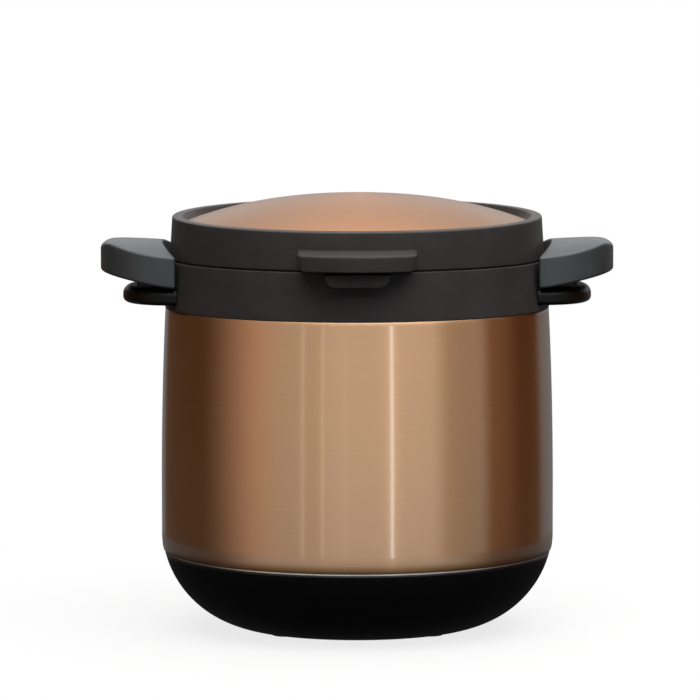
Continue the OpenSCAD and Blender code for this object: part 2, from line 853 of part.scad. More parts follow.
// The front tab's outline from above: a bowed front edge between two straight ends
module tab_plan() {
    half = tab_w / 2;
    bow_r = (pow(half, 2) + pow(tab_bow, 2)) / (2 * tab_bow);
    bow_a = asin(half / bow_r);
    polygon(concat(
        [[-half, -lid_r / 2]],
        round_arc([0, bow_r - lid_r - tab_out], bow_r, -90 - bow_a, -90 + bow_a, CURVE_STEPS),
        [[half, -lid_r / 2]]
    ));
}

// The front tab: level below and sloping down to the front above
module tab() {
    difference() {
        intersection() {
            translate([0, 0, lid_z])
                linear_extrude(tab_root_h)
                    tab_plan();
            translate([-tab_w, 0, 0])
                rotate([90, 0, 90])
                    linear_extrude(2 * tab_w)
                        polygon([
                            [0, lid_z],
                            [-lid_r - tab_out, lid_z],
                            [-lid_r - tab_out, lid_z + tab_tip_h],
                            [-lid_r, lid_z + tab_root_h],
                            [0, lid_z + tab_root_h]
                        ]);
        }
        cylinder(r = lid_top_r - lid_wall / 2, h = 2 * apex_z);
    }
}

// The lid's arm, knuckle and stop at the hinge
module lid_arm() {
    difference() {
        translate([-knuckle_w / 2, 0, lid_z])
            cube([knuckle_w, hinge_y, arm_t]);
        cylinder(r = lid_top_r - lid_wall / 2, h = 2 * apex_z);
    }
    on_axis(-knuckle_w / 2, knuckle_w / 2, knuckle_r);
    translate([-stop_w / 2, hinge_y, hinge_z])
        rotate([stop_a, 0, 0])
            translate([0, 0, -stop_t / 2])
                cube([stop_w, stop_l, stop_t]);
}

module lid_frame() {
    in_r = lid_r - lid_wall;
    in_top_r = lid_top_r - lid_wall;
    seat_z = dome_z(dome_r) - sheet - fit;
    floor_in_r = in_r - floor_w;
    color(DARK)
        difference() {
            union() {
                turned(concat(
                    [[in_r, lid_z], [lid_r - 1, lid_z], [lid_r, lid_z + 1]],
                    round_arc([lid_top_r - lid_round, crest_z - lid_round], lid_round, 0, 90),
                    [
                        [dome_r + rim_slope_w, crest_z],
                        [dome_r + fit, dome_edge_z],
                        [dome_r + fit, seat_z],
                        [seat_r, dome_z(seat_r) - sheet - fit],
                        [seat_r, seat_z - floor_t],
                        [in_top_r, seat_z - floor_t],
                        [in_r, lid_floor_z + floor_t],
                        [floor_in_r, lid_floor_z + floor_t],
                        [floor_in_r, lid_floor_z],
                        [in_r, lid_floor_z]
                    ]
                ));
                tab();
                lid_arm();
            }
            on_axis(-knuckle_w, knuckle_w, pin_r + pin_gap);
            liner_screw_places()
                cylinder(r = screw_r + hole_gap, h = crest_z - lid_z, center = true);
        }
}

module lid_dome() {
    color(COPPER)
        turned(concat(
            [for (i = [0:CURVE_STEPS]) let (r = dome_r * i / CURVE_STEPS) [r, dome_z(r) - sheet]],
            [for (i = [CURVE_STEPS:-1:0]) let (r = dome_r * i / CURVE_STEPS) [r, dome_z(r)]]
        ));
}

module lid_foam() {
    foam_r = seat_r - 5 * fit;
    under = sheet + 5 * fit;
    color(FOAM)
        turned(concat(
            [[0, lid_floor_z + floor_t + fit], [foam_r, lid_floor_z + floor_t + fit]],
            [for (i = [CURVE_STEPS:-1:0]) let (r = foam_r * i / CURVE_STEPS) [r, dome_z(r) - under]]
        ));
}

// The ring of screws that hold the liner pan under the lid's floor
module liner_screw_places() {
    for (i = [0:liner_screw_n - 1])
        rotate([0, 0, 360 * (i + 0.5) / liner_screw_n])
            translate([liner_screw_r, 0, lid_floor_z])
                children();
}

module lid_liner() {
    corner = liner_depth / 2;
    top_z = lid_floor_z - fit;
    color(STEEL)
        difference() {
            union() {
                turned(concat(
                    [[0, liner_z]],
                    round_arc([liner_r - corner, liner_z + corner], corner, -90, 0),
                    [[liner_r, top_z], [liner_r - liner_wall, top_z]],
                    round_arc([liner_r - corner, liner_z + corner], corner - liner_wall, 0, -90),
                    [[0, liner_z + liner_wall]]
                ));
                liner_screw_places()
                    translate([0, 0, -liner_depth])
                        cylinder(r = screw_head_r + boss_wall, h = liner_depth - fit);
            }
            liner_screw_places() {
                cylinder(r = screw_r + hole_gap, h = 4 * liner_depth, center = true);
                translate([0, 0, -liner_depth - 1])
                    cylinder(r = screw_head_r + 2 * hole_gap, h = 1 + screw_head_h + fit);
            }
        }
}

module lid_seal() {
    color(SILICONE)
        translate([0, 0, ring_top_z + fit])
            difference() {
                cylinder(r = lid_seal_r, h = lid_floor_z - ring_top_z - 2 * fit);
                translate([0, 0, -1])
                    cylinder(r = lid_seal_r - lid_seal_w, h = lid_floor_z);
            }
}

module liner_screws() {
    color(STEEL)
        liner_screw_places()
            translate([0, 0, -liner_depth])
                screw(liner_depth - screw_head_h + floor_t - fit);
}

module cooking_pot() {
    c = [pot_r - pot_corner, pot_z + pot_corner];
    bead = pot_rim_w / 2;
    color(STEEL)
        difference() {
            turned(concat(
                [[0, pot_z]],
                round_arc(c, pot_corner, -90, 0),
                [[pot_r, pot_rim_z - 2 * bead]],
                round_arc([pot_rim_r - bead, pot_rim_z - bead], bead, -90, 90),
                [[pot_r - sheet, pot_rim_z]],
                round_arc(c, pot_corner - sheet, 0, -90),
                [[0, pot_z + sheet]]
            ));
            rivet_holes(pot_r - 2 * sheet);
        }
}

module pot_base_disc() {
    edge = disc_t / 5;
    color(STEEL)
        turned([
            [0, disc_z],
            [disc_r - edge, disc_z],
            [disc_r, disc_z + edge],
            [disc_r, disc_z + disc_t],
            [0, disc_z + disc_t]
        ]);
}

// The two rivet places of a pot handle, on level lines out from the axis
module rivet_places(r) {
    for (side = [-1, 1])
        outward(side * loop_a / 4, r, pot_rim_z - bend_down - pad_h / 2)
            children();
}

module rivet_holes(r) {
    for (turn = [0, 180])
        rotate([0, 0, turn])
            rivet_places(r)
                cylinder(r = rivet_r + hole_gap, h = 6 * sheet + strap_t);
}

module pot_strap() {
    pad_r = pot_r + fit;
    bend_z = pot_rim_z - bend_down;
    arm_top_z = loop_z + loop_h / 2;
    out_r = strap_r + strap_t;
    pad_top_z = bend_z - strap_t / 2;
    color(STEEL)
        difference() {
            sector([
                [pad_r, bend_z - pad_h],
                [pad_r + strap_t, bend_z - pad_h],
                [pad_r + strap_t, bend_z],
                [out_r, bend_z],
                [out_r, arm_top_z],
                [strap_r, arm_top_z],
                [strap_r, bend_z + strap_t],
                [pad_r, bend_z + strap_t]
            ], loop_a);
            // The opening between the two arms
            sector([
                [pad_r - strap_t, pad_top_z],
                [out_r + strap_t, pad_top_z],
                [out_r + strap_t, arm_top_z + strap_t],
                [pad_r - strap_t, arm_top_z + strap_t]
            ], loop_a - 2 * arm_a);
            rivet_holes(pot_r - sheet);
        }
}

module pot_grip() {
    edge = loop_t / 4;
    in_r = loop_out_r - loop_t;
    out_r = loop_out_r;
    color(BLACK)
        difference() {
            sector(concat(
                round_arc([in_r + edge, loop_z + edge], edge, 180, 270),
                round_arc([out_r - edge, loop_z + edge], edge, 270, 360),
                round_arc([out_r - edge, loop_z + loop_h - edge], edge, 0, 90),
                round_arc([in_r + edge, loop_z + loop_h - edge], edge, 90, 180)
            ), loop_a + arm_a / 2);
            for (side = [-1, 1])
                rotate([0, 0, side * (loop_a - arm_a) / 2])
                    sector([
                        [strap_r - fit, loop_z - 1],
                        [strap_r + strap_t + fit, loop_z - 1],
                        [strap_r + strap_t + fit, loop_z + loop_h / 2 + fit],
                        [strap_r - fit, loop_z + loop_h / 2 + fit]
                    ], arm_a + fit);
        }
}

module pot_rivets() {
    head_gap = 3 * fit;
    grip_t = sheet + strap_t + fit + 2 * head_gap;
    color(STEEL)
        for (turn = [0, 180])
            rotate([0, 0, turn])
                rivet_places(pot_r - sheet - head_gap - rivet_head_h) {
                    cylinder(r = rivet_head_r, h = rivet_head_h);
                    cylinder(r = rivet_r, h = 2 * rivet_head_h + grip_t);
                    translate([0, 0, rivet_head_h + grip_t])
                        cylinder(r = rivet_head_r, h = rivet_head_h);
                }
}

module pot_lid() {
    hole_r = screw_r + hole_gap;
    in_r = skirt_r - sheet;
    edge_z = pot_lid_z + sheet;
    color(STEEL)
        turned(concat(
            [for (i = [0:CURVE_STEPS]) let (r = hole_r + (skirt_r - hole_r) * i / CURVE_STEPS)
                [r, pot_lid_top(r)]],
            [
                [pot_rim_r, edge_z],
                [pot_rim_r, pot_lid_z],
                [skirt_r, pot_lid_z],
                [skirt_r, pot_lid_z - skirt_h],
                [in_r, pot_lid_z - skirt_h]
            ],
            [for (i = [CURVE_STEPS:-1:0]) let (r = hole_r + (in_r - hole_r) * i / CURVE_STEPS)
                [r, pot_lid_top(r) - sheet]]
        ));
}

module knob_washer() {
    color(SILICONE)
        translate([0, 0, pot_apex_z + fit])
            difference() {
                cylinder(r = knob_neck_r + 1, h = washer_t);
                translate([0, 0, -1])
                    cylinder(r = screw_r + hole_gap, h = washer_t + 2);
            }
}

module pot_lid_knob() {
    base_z = pot_apex_z + washer_t + 2 * fit;
    top_z = base_z + knob_h;
    brim = knob_h / 4;
    color(BLACK)
        difference() {
            turned(concat(
                [[0, base_z], [knob_neck_r, base_z], [knob_neck_r * 0.85, base_z + knob_h / 3]],
                arc([knob_r - brim, base_z + knob_h * 0.7], brim, brim, -60, 60),
                arc([0, top_z - brim / 2], knob_r - brim, brim / 2, 30, 90)
            ));
            translate([0, 0, base_z - 1])
                cylinder(r = screw_r + hole_gap, h = 1 + knob_h / 2 + 2 * fit);
        }
}

module knob_screw() {
    color(STEEL)
        translate([0, 0, pot_apex_z - sheet - 2 * fit - screw_head_h])
            screw(sheet + washer_t + 3 * fit + knob_h / 2);
}

base_cup();
rubber_feet();
base_screws();
weld_nuts();
steel_bottom();
vacuum_seal();
getter();
outer_shell();
inner_vessel();
foil_wrap();
mouth_seal();
shoulder_ring();
mirror([1, 0, 0]) handle_bracket();  // handle_bracket_left
handle_bracket();  // handle_bracket_right
mirror([1, 0, 0]) handle_grip();  // handle_grip_left
handle_grip();  // handle_grip_right
bracket_screws();
grip_screws();
hinge_bracket();
hinge_screws();
hinge_pin();
pin_clip();
lid_frame();
lid_dome();
lid_foam();
lid_liner();
lid_seal();
liner_screws();
cooking_pot();
pot_base_disc();
rotate([0, 0, 180]) pot_strap();  // pot_strap_left
pot_strap();  // pot_strap_right
rotate([0, 0, 180]) pot_grip();  // pot_grip_left
pot_grip();  // pot_grip_right
pot_rivets();
pot_lid();
pot_lid_knob();
knob_washer();
knob_screw();
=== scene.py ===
"""Looks of a thermal cooker: worked-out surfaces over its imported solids, finishes and a studio."""

import logging
import math
from dataclasses import dataclass, field
from enum import Enum
from typing import Callable, Sequence

import bmesh
import bpy
import numpy as np
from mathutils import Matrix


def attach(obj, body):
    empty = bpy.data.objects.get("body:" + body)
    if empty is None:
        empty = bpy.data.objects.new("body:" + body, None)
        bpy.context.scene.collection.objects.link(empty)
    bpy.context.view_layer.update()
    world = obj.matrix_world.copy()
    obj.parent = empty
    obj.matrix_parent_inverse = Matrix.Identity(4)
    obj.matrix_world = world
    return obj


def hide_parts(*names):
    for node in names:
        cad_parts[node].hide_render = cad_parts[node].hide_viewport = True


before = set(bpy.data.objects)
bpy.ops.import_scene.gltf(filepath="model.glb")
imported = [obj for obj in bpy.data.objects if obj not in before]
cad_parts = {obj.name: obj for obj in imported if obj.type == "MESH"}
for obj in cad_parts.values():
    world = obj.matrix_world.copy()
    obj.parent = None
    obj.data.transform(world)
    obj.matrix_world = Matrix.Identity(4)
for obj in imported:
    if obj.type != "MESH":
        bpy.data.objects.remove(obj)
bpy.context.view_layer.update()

LOG = logging.getLogger("cooker")
MM = 0.001
UV_NAME = "along_and_round"
FULL_TURN = 2 * math.pi
SHARP_ANGLE = math.radians(40)
# Radius of the small ring at which a turned section starts or ends near the axis
EYE_R = 0.6
# How far a bore starts below the face that it is cut into
BORE_START = 1.0

Points = np.ndarray
Pair = tuple[float, float]
Triple = tuple[float, float, float]
Colour = Triple
Height = Callable[[Points, Points], Points]
Mesh = bpy.types.Mesh
Socket = bpy.types.NodeSocket


class Body(str, Enum):
    """The moving bodies of the cooker."""

    VESSEL = "vessel"
    LID = "lid"
    POT = "pot"
    POT_COVER = "pot_cover"


class Slot(str, Enum):
    """The material slots that the record names."""

    COPPER = "copper_steel"
    STEEL = "steel"
    ZINC = "zinc_steel"
    DISC = "disc_aluminium"
    FOIL = "foil"
    DARK = "dark_plastic"
    BLACK = "black_plastic"
    GREY = "grey_plastic"
    HEATPROOF = "heatproof_plastic"
    LINER = "liner_plastic"
    SILICONE = "silicone"
    RUBBER = "foot_rubber"
    FOAM = "foam"


class Side(Enum):
    """The two sides of the cooker, as the sign of X."""

    LEFT = -1
    RIGHT = 1


# Outlines


def unit(vectors: Points) -> Points:
    """Vectors scaled to a length of one."""
    return vectors / np.linalg.norm(vectors, axis=-1, keepdims=True)


def eased(share: Points) -> Points:
    """A share from 0 to 1 that starts and ends softly: 3 s^2 - 2 s^3."""
    kept = np.clip(share, 0, 1)
    return kept * kept * (3 - 2 * kept)


def arc(centre: Sequence[float], radii: Sequence[float] | float, start: float, stop: float,
        steps: int = 24) -> Points:
    """Points along an ellipse's arc: the centre plus (rx cos a, ry sin a), a running evenly.

    Args:
        centre: middle of the ellipse.
        radii: its two half axes, or the radius of a circle.
        start: first angle in degrees.
        stop: last angle in degrees.
        steps: number of steps along the arc.

    Returns:
        The points, one row each.
    """
    a = np.radians(np.linspace(start, stop, steps + 1))
    return np.asarray(centre) + np.asarray(radii) * np.stack([np.cos(a), np.sin(a)], -1)


def around(r: float, degrees: Sequence[float]) -> Points:
    """Points on a circle round the axis, at angles in degrees."""
    t = np.radians(degrees)
    return r * np.stack([np.cos(t), np.sin(t)], -1)


def rounded(corners: Sequence[Sequence[float]], radii: Sequence[float] | float,
            steps: int = 8) -> Points:
    """A closed outline with its corners rounded by arcs that touch both sides.

    An arc's centre lies on the corner's bisector at radius / sin(half the angle), and its points
    are the even turn from one touching direction to the other.

    Args:
        corners: the corners in order.
        radii: one radius for each corner, or one for all, above zero.
        steps: steps along each arc.

    Returns:
        The outline's points in order.
    """
    here = np.asarray(corners, float)
    r = np.broadcast_to(np.asarray(radii, float), (len(here),))[:, None]
    back = unit(np.roll(here, 1, 0) - here)
    on = unit(np.roll(here, -1, 0) - here)
    half = np.arccos(np.clip((back * on).sum(1, keepdims=True), -1, 1)) / 2
    centre = here + unit(back + on) * r / np.sin(half)
    first = here + back * r / np.tan(half) - centre
    last = here + on * r / np.tan(half) - centre
    turn = (np.pi - 2 * half)[:, None]
    s = np.linspace(0, 1, steps + 1)[None, :, None]
    swung = np.sin((1 - s) * turn) * first[:, None] + np.sin(s * turn) * last[:, None]
    return (centre[:, None] + swung / np.sin(turn)).reshape(-1, 2)


def box(low: Sequence[float], high: Sequence[float], radii: Sequence[float] | float,
        steps: int = 8) -> Points:
    """A rectangle with rounded corners, from its lowest corner round by its highest one."""
    return rounded([low, (high[0], low[1]), high, (low[0], high[1])], radii, steps)


def denser(points: Points, longest: float, closed: bool = True) -> Points:
    """An outline with its long straight runs cut into even steps.

    Args:
        points: the outline in order.
        longest: the longest step left.
        closed: whether the last point runs on to the first.

    Returns:
        The outline with the new points in place.
    """
    runs = np.roll(points, -1, 0) - points
    parts = np.maximum(np.ceil(np.linalg.norm(runs, axis=1) / longest).astype(int), 1)
    if not closed:
        parts[-1] = 1
    place = np.repeat(np.arange(len(points)), parts)
    step = np.arange(len(place)) - np.repeat(np.cumsum(parts) - parts, parts)
    return points[place] + runs[place] * (step / parts[place])[:, None]


def even(loop: Points, count: int) -> Points:
    """A closed outline taken again at even distances along its length.

    Args:
        loop: the outline in order.
        count: number of points to take.

    Returns:
        The evenly spaced points.
    """
    trip = np.concatenate([loop, loop[:1]])
    length = np.concatenate([[0], np.cumsum(np.linalg.norm(np.diff(trip, axis=0), axis=1))])
    at = np.linspace(0, length[-1], count, endpoint=False)
    return np.stack([np.interp(at, length, trip[:, k]) for k in range(2)], -1)


def softened(loop: Points, reach: float, count: int) -> Points:
    """A closed outline with soft corners: its even points blurred along its length.

    The blur is a bell curve, applied to the outline's waves: each is damped by
    exp(-(2 pi reach / wavelength)^2 / 2).

    Args:
        loop: the outline in order.
        reach: spread of the bell curve along the outline.
        count: number of points to take.

    Returns:
        The softened outline.
    """
    points = even(loop, count)
    length = np.linalg.norm(np.diff(points, axis=0, append=points[:1]), axis=1).sum()
    waves = np.fft.fftfreq(count, 1 / count) * FULL_TURN * reach / length
    blurred = np.fft.ifft(np.fft.fft(points[:, 0] + 1j * points[:, 1]) * np.exp(-waves**2 / 2))
    return np.stack([blurred.real, blurred.imag], -1)


# Skins


@dataclass
class Skin:
    """A closed skin: its points in millimetres, its faces and their surface coordinates."""

    points: Points
    quads: Points
    fans: Points
    quad_uv: Points
    fan_uv: Points


def grid_quads(rows: int, columns: int, wrapped: Points, count: int) -> Points:
    """Corners of the quads between neighbouring rows and columns of a grid of points.

    Args:
        rows: number of rows of quads.
        columns: number of columns of quads.
        wrapped: the row that follows each row.
        count: number of points in a row.

    Returns:
        Four point numbers for each quad, row by row.
    """
    i, j = np.meshgrid(np.arange(rows), np.arange(columns), indexing="ij")
    on, across = wrapped[i], (j + 1) % count
    corners = [i * count + j, i * count + across, on * count + across, on * count + j]
    return np.stack(corners, -1).reshape(-1, 4)


def skin(rings: Points, closed: bool = False) -> Skin:
    """Joins rings of points into a closed skin that faces outward.

    Neighbouring rings are joined by quads. The first and last ring are each closed by a fan to
    their middle, or joined to each other. The first surface coordinate is the way along from ring
    to ring in metres, the second the share of a turn round a ring.

    Args:
        rings: an array of rings, points and x, y, z.
        closed: whether the last ring runs on to the first.

    Returns:
        The skin.
    """
    m, n = rings.shape[:2]
    rows = m if closed else m - 1
    quads = grid_quads(rows, n, (np.arange(rows) + 1) % m, n)
    steps = np.linalg.norm(np.roll(rings, -1, 0) - rings, axis=-1).mean(1) * MM
    way = np.concatenate([[0], np.cumsum(steps)])
    turn = np.arange(n + 1) / n
    i, j = np.meshgrid(np.arange(rows), np.arange(n), indexing="ij")
    quad_uv = np.stack([
        np.stack([way[i + a], turn[j + b]], -1) for a, b in ((0, 0), (0, 1), (1, 1), (1, 0))
    ], 2).reshape(-1, 4, 2)
    points = rings.reshape(-1, 3)
    fans, fan_uv = np.zeros((0, 3), int), np.zeros((0, 3, 2))
    if not closed:
        points = np.concatenate([points, rings[[0, -1]].mean(1)])
        k = np.arange(n)
        after = (k + 1) % n
        first = np.stack([after, k, np.full(n, m * n)], -1)
        last = np.stack([(m - 1) * n + k, (m - 1) * n + after, np.full(n, m * n + 1)], -1)
        fans = np.concatenate([first, last])
        ends = np.repeat([way[0], way[m - 1]], n)
        share = np.tile(turn[:-1], 2)
        fan_uv = np.stack([np.stack([ends, share + d / n], -1) for d in (0, 1, 0.5)], 1)
    a, b, c, d = (points[quads[:, q]] for q in range(4))
    e, f, g = (points[fans[:, q]] for q in range(3))
    volume = (a * np.cross(b, c)).sum() + (a * np.cross(c, d)).sum() + (e * np.cross(f, g)).sum()
    if volume < 0:
        quads, fans = quads[:, ::-1], fans[:, ::-1]
        quad_uv, fan_uv = quad_uv[:, ::-1], fan_uv[:, ::-1]
    return Skin(points, quads, fans, quad_uv, fan_uv)


def lathe(profile: Points, steps: int = 224) -> Points:
    """Rings of a turned form: (r cos t, r sin t, z) for each profile point at even turns t.

    Args:
        profile: points of radius and height.
        steps: points round a ring.

    Returns:
        The rings.
    """
    t = np.linspace(0, FULL_TURN, steps, endpoint=False)
    r, z = profile.T
    flat = [np.outer(r, np.cos(t)), np.outer(r, np.sin(t)), np.repeat(z[:, None], steps, 1)]
    return np.stack(flat, -1)


def turned(section: Points, longest: float, steps: int = 224, ring: bool = False) -> Skin:
    """The skin of a turned form: its section starts and ends at the axis or is a closed ring."""
    return skin(lathe(denser(section, longest, closed=ring), steps), closed=ring)


def crowned(outline: Points, low: Height, high: Height, edges: Pair, steps: int = 9,
            across: int = 12) -> Points:
    """Rings of a form between two height fields over an outline, with rounded edges.

    At the lower edge the outline is set in by e (1 - sin a) and raised by e (1 - cos a), at the
    upper edge set in by e (1 - cos a) and lowered by e (1 - sin a), a running to a right angle.
    The two faces are the set-in outlines shrunk toward their middle.

    Args:
        outline: a smooth closed outline in plan.
        low: height of the lower face at x, y.
        high: height of the upper face at x, y.
        edges: radius of the lower and the upper edge.
        steps: rings round an edge.
        across: rings across a face.

    Returns:
        The rings, from the middle of the lower face to the middle of the upper one.
    """
    smallest, side_steps = 0.04, 5
    ahead = unit(np.roll(outline, -1, 0) - np.roll(outline, 1, 0))
    inward = np.stack([-ahead[:, 1], ahead[:, 0]], -1)
    after = np.roll(outline, -1, 0)
    inward *= np.sign((outline[:, 0] * after[:, 1] - after[:, 0] * outline[:, 1]).sum())
    a = np.linspace(0, np.pi / 2, steps + 1)
    share = np.sin(np.linspace(smallest, np.pi / 2, across, endpoint=False))
    up = np.linspace(0, 1, side_steps + 1)[1:-1]
    under, over = edges
    size = np.concatenate([share, np.ones(2 * (steps + 1) + len(up)), share[::-1]])
    inset = np.concatenate([
        np.full(across, under), under * (1 - np.sin(a)), 0 * up,
        over * (1 - np.cos(a)), np.full(across, over),
    ])
    lift = np.concatenate([np.zeros(across), under * (1 - np.cos(a))])
    drop = np.concatenate([over * (1 - np.sin(a)), np.zeros(across)])
    middle = outline.mean(0)
    plan = outline + inset[:, None, None] * inward
    plan = middle + (plan - middle) * size[:, None, None]
    x, y = plan[..., 0], plan[..., 1]
    floor, roof = low(x, y), high(x, y)
    k = across + steps + 1
    lower = floor[:k] + lift[:, None]
    upper = roof[k + len(up):] - drop[:, None]
    side = floor[k] + under + up[:, None] * (roof[k] - over - floor[k] - under)
    return np.stack([x, y, np.concatenate([lower, side, upper])], -1)


def level(z: float) -> Height:
    """A height field that is the same all over."""
    return lambda x, y: np.full(np.shape(x), float(z))


def swept(profile: Points, start: float, stop: float, end_round: float,
          steps: int = 40) -> Points:
    """Rings of a sector: a closed profile turned about the axis, its ends rounded.

    Over the last stretch of end_round along the arc the profile shrinks toward its middle by
    end_round (1 - sin a) while it goes on by end_round (1 - cos a).

    Args:
        profile: closed outline of radius and height.
        start: first angle in degrees.
        stop: last angle in degrees.
        end_round: radius of the rounded ends.
        steps: steps along the sector.

    Returns:
        The rings.
    """
    end_rings = 8
    middle = profile.mean(0)
    reach = np.abs(profile - middle).max()
    turn = math.degrees(end_round / middle[0])
    a = np.linspace(0, np.pi / 2, end_rings)
    t = np.radians(np.concatenate([
        start + turn * (1 - np.cos(a)),
        np.linspace(start + turn, stop - turn, steps)[1:-1],
        stop - turn * (1 - np.cos(a[::-1])),
    ]))[:, None]
    small = end_round / reach * (1 - np.sin(a))
    size = 1 - np.concatenate([small, np.zeros(steps - 2), small[::-1]])
    flat = middle + (profile - middle) * size[:, None, None]
    return np.stack([flat[..., 0] * np.cos(t), flat[..., 0] * np.sin(t), flat[..., 1]], -1)


def facing_x(rings: Points) -> Points:
    """Rings made in (y, z, x) put in (x, y, z)."""
    return rings[..., [2, 0, 1]]


def facing_y(rings: Points) -> Points:
    """Rings made in (x, z, y) put in (x, y, z)."""
    return rings[..., [0, 2, 1]]


def bores(places: Points, r: float, face_z: float, depth: float) -> list[Skin]:
    """Skins of upright bores that come up through a face.

    Args:
        places: x and y of each bore.
        r: radius of the bores.
        face_z: height of the face.
        depth: how far the bores go above the face.

    Returns:
        One skin for each bore.
    """
    round_steps = 48
    ring = lathe(np.array([[r, face_z - BORE_START], [r, face_z + depth]]), round_steps)
    return [skin(ring + np.array([x, y, 0])) for x, y in places]


# Pieces


def mesh_of(name: str, skins: Sequence[Skin]) -> Mesh:
    """A mesh of one or more skins, in metres.

    Args:
        name: name of the mesh.
        skins: the skins it holds.

    Returns:
        The mesh.
    """
    starts = np.cumsum([0] + [len(s.points) for s in skins])
    points = np.concatenate([s.points for s in skins]) * MM
    quads = np.concatenate([s.quads + o for s, o in zip(skins, starts)])
    fans = np.concatenate([s.fans + o for s, o in zip(skins, starts)])
    uv = np.concatenate([s.quad_uv.reshape(-1, 2) for s in skins]
                        + [s.fan_uv.reshape(-1, 2) for s in skins])
    corners = np.concatenate([quads.ravel(), fans.ravel()])
    sizes = np.concatenate([np.full(len(quads), 4), np.full(len(fans), 3)])
    mesh = bpy.data.meshes.new(name)
    mesh.vertices.add(len(points))
    mesh.vertices.foreach_set("co", points.astype(np.float32).ravel())
    mesh.loops.add(len(corners))
    mesh.loops.foreach_set("vertex_index", corners.astype(np.int32))
    mesh.polygons.add(len(sizes))
    mesh.polygons.foreach_set("loop_start", (np.cumsum(sizes) - sizes).astype(np.int32))
    layer = mesh.uv_layers.new(name=UV_NAME)
    layer.data.foreach_set("uv", uv.astype(np.float32).ravel())
    mesh.update(calc_edges=True)
    mesh.validate()
    return mesh


def without(mesh: Mesh, drills: Sequence[Skin]) -> Mesh:
    """The mesh with the drills' room cut out of it.

    Args:
        mesh: a closed mesh.
        drills: closed skins that don't meet each other.

    Returns:
        The cut mesh.
    """
    block = bpy.data.objects.new("block", mesh)
    tool = bpy.data.objects.new("tool", mesh_of("tool", drills))
    for item in (block, tool):
        bpy.context.scene.collection.objects.link(item)
    cut = block.modifiers.new("cut", "BOOLEAN")
    cut.object, cut.operation, cut.solver = tool, "DIFFERENCE", "EXACT"
    graph = bpy.context.evaluated_depsgraph_get()
    made = bpy.data.meshes.new_from_object(block.evaluated_get(graph))
    for item in (block, tool):
        bpy.data.objects.remove(item)
    return made


def joined(mesh: Mesh, other: Mesh) -> Mesh:
    """The first mesh with the other's faces added to it.

    Args:
        mesh: the mesh that grows.
        other: the mesh that is added.

    Returns:
        The first mesh.
    """
    both = bmesh.new()
    both.from_mesh(mesh)
    both.from_mesh(other)
    both.to_mesh(mesh)
    both.free()
    return mesh


def panel(name: str, grid: Points, closed: bool = False) -> Mesh:
    """An open sheet of quads over a grid of points.

    Args:
        name: name of the mesh.
        grid: rows of points in metres.
        closed: whether each row runs on to its start.

    Returns:
        The mesh.
    """
    m, n = grid.shape[:2]
    quads = grid_quads(m - 1, n if closed else n - 1, np.arange(1, m), n)
    mesh = bpy.data.meshes.new(name)
    mesh.from_pydata(grid.reshape(-1, 3).tolist(), [], quads.tolist())
    return mesh


def piece(name: str, skins: Sequence[Skin], finish: "Finish", body: Body,
          drills: Sequence[Skin] = ()) -> None:
    """Puts a finished piece on its body, in the place of the solid of its name.

    Args:
        name: name of the piece and of the solid.
        skins: its skins.
        finish: its finish.
        body: the body that carries it.
        drills: holes cut into its first skin.
    """
    if drills:
        mesh = without(mesh_of(name, skins[:1]), drills)
        if skins[1:]:
            mesh = joined(mesh, mesh_of(name, skins[1:]))
    else:
        mesh = mesh_of(name, skins)
    mesh.name = name
    mesh.shade_smooth()
    mesh.set_sharp_from_angle(angle=SHARP_ANGLE)
    mesh.materials.clear()
    mesh.materials.append(finish.material())
    made = bpy.data.objects.new(f"{name}.look", mesh)
    bpy.context.scene.collection.objects.link(made)
    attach(made, body.value)
    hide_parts(name)
    LOG.info("%s: %d points, %s", made.name, len(mesh.vertices), finish.name)


# Finishes


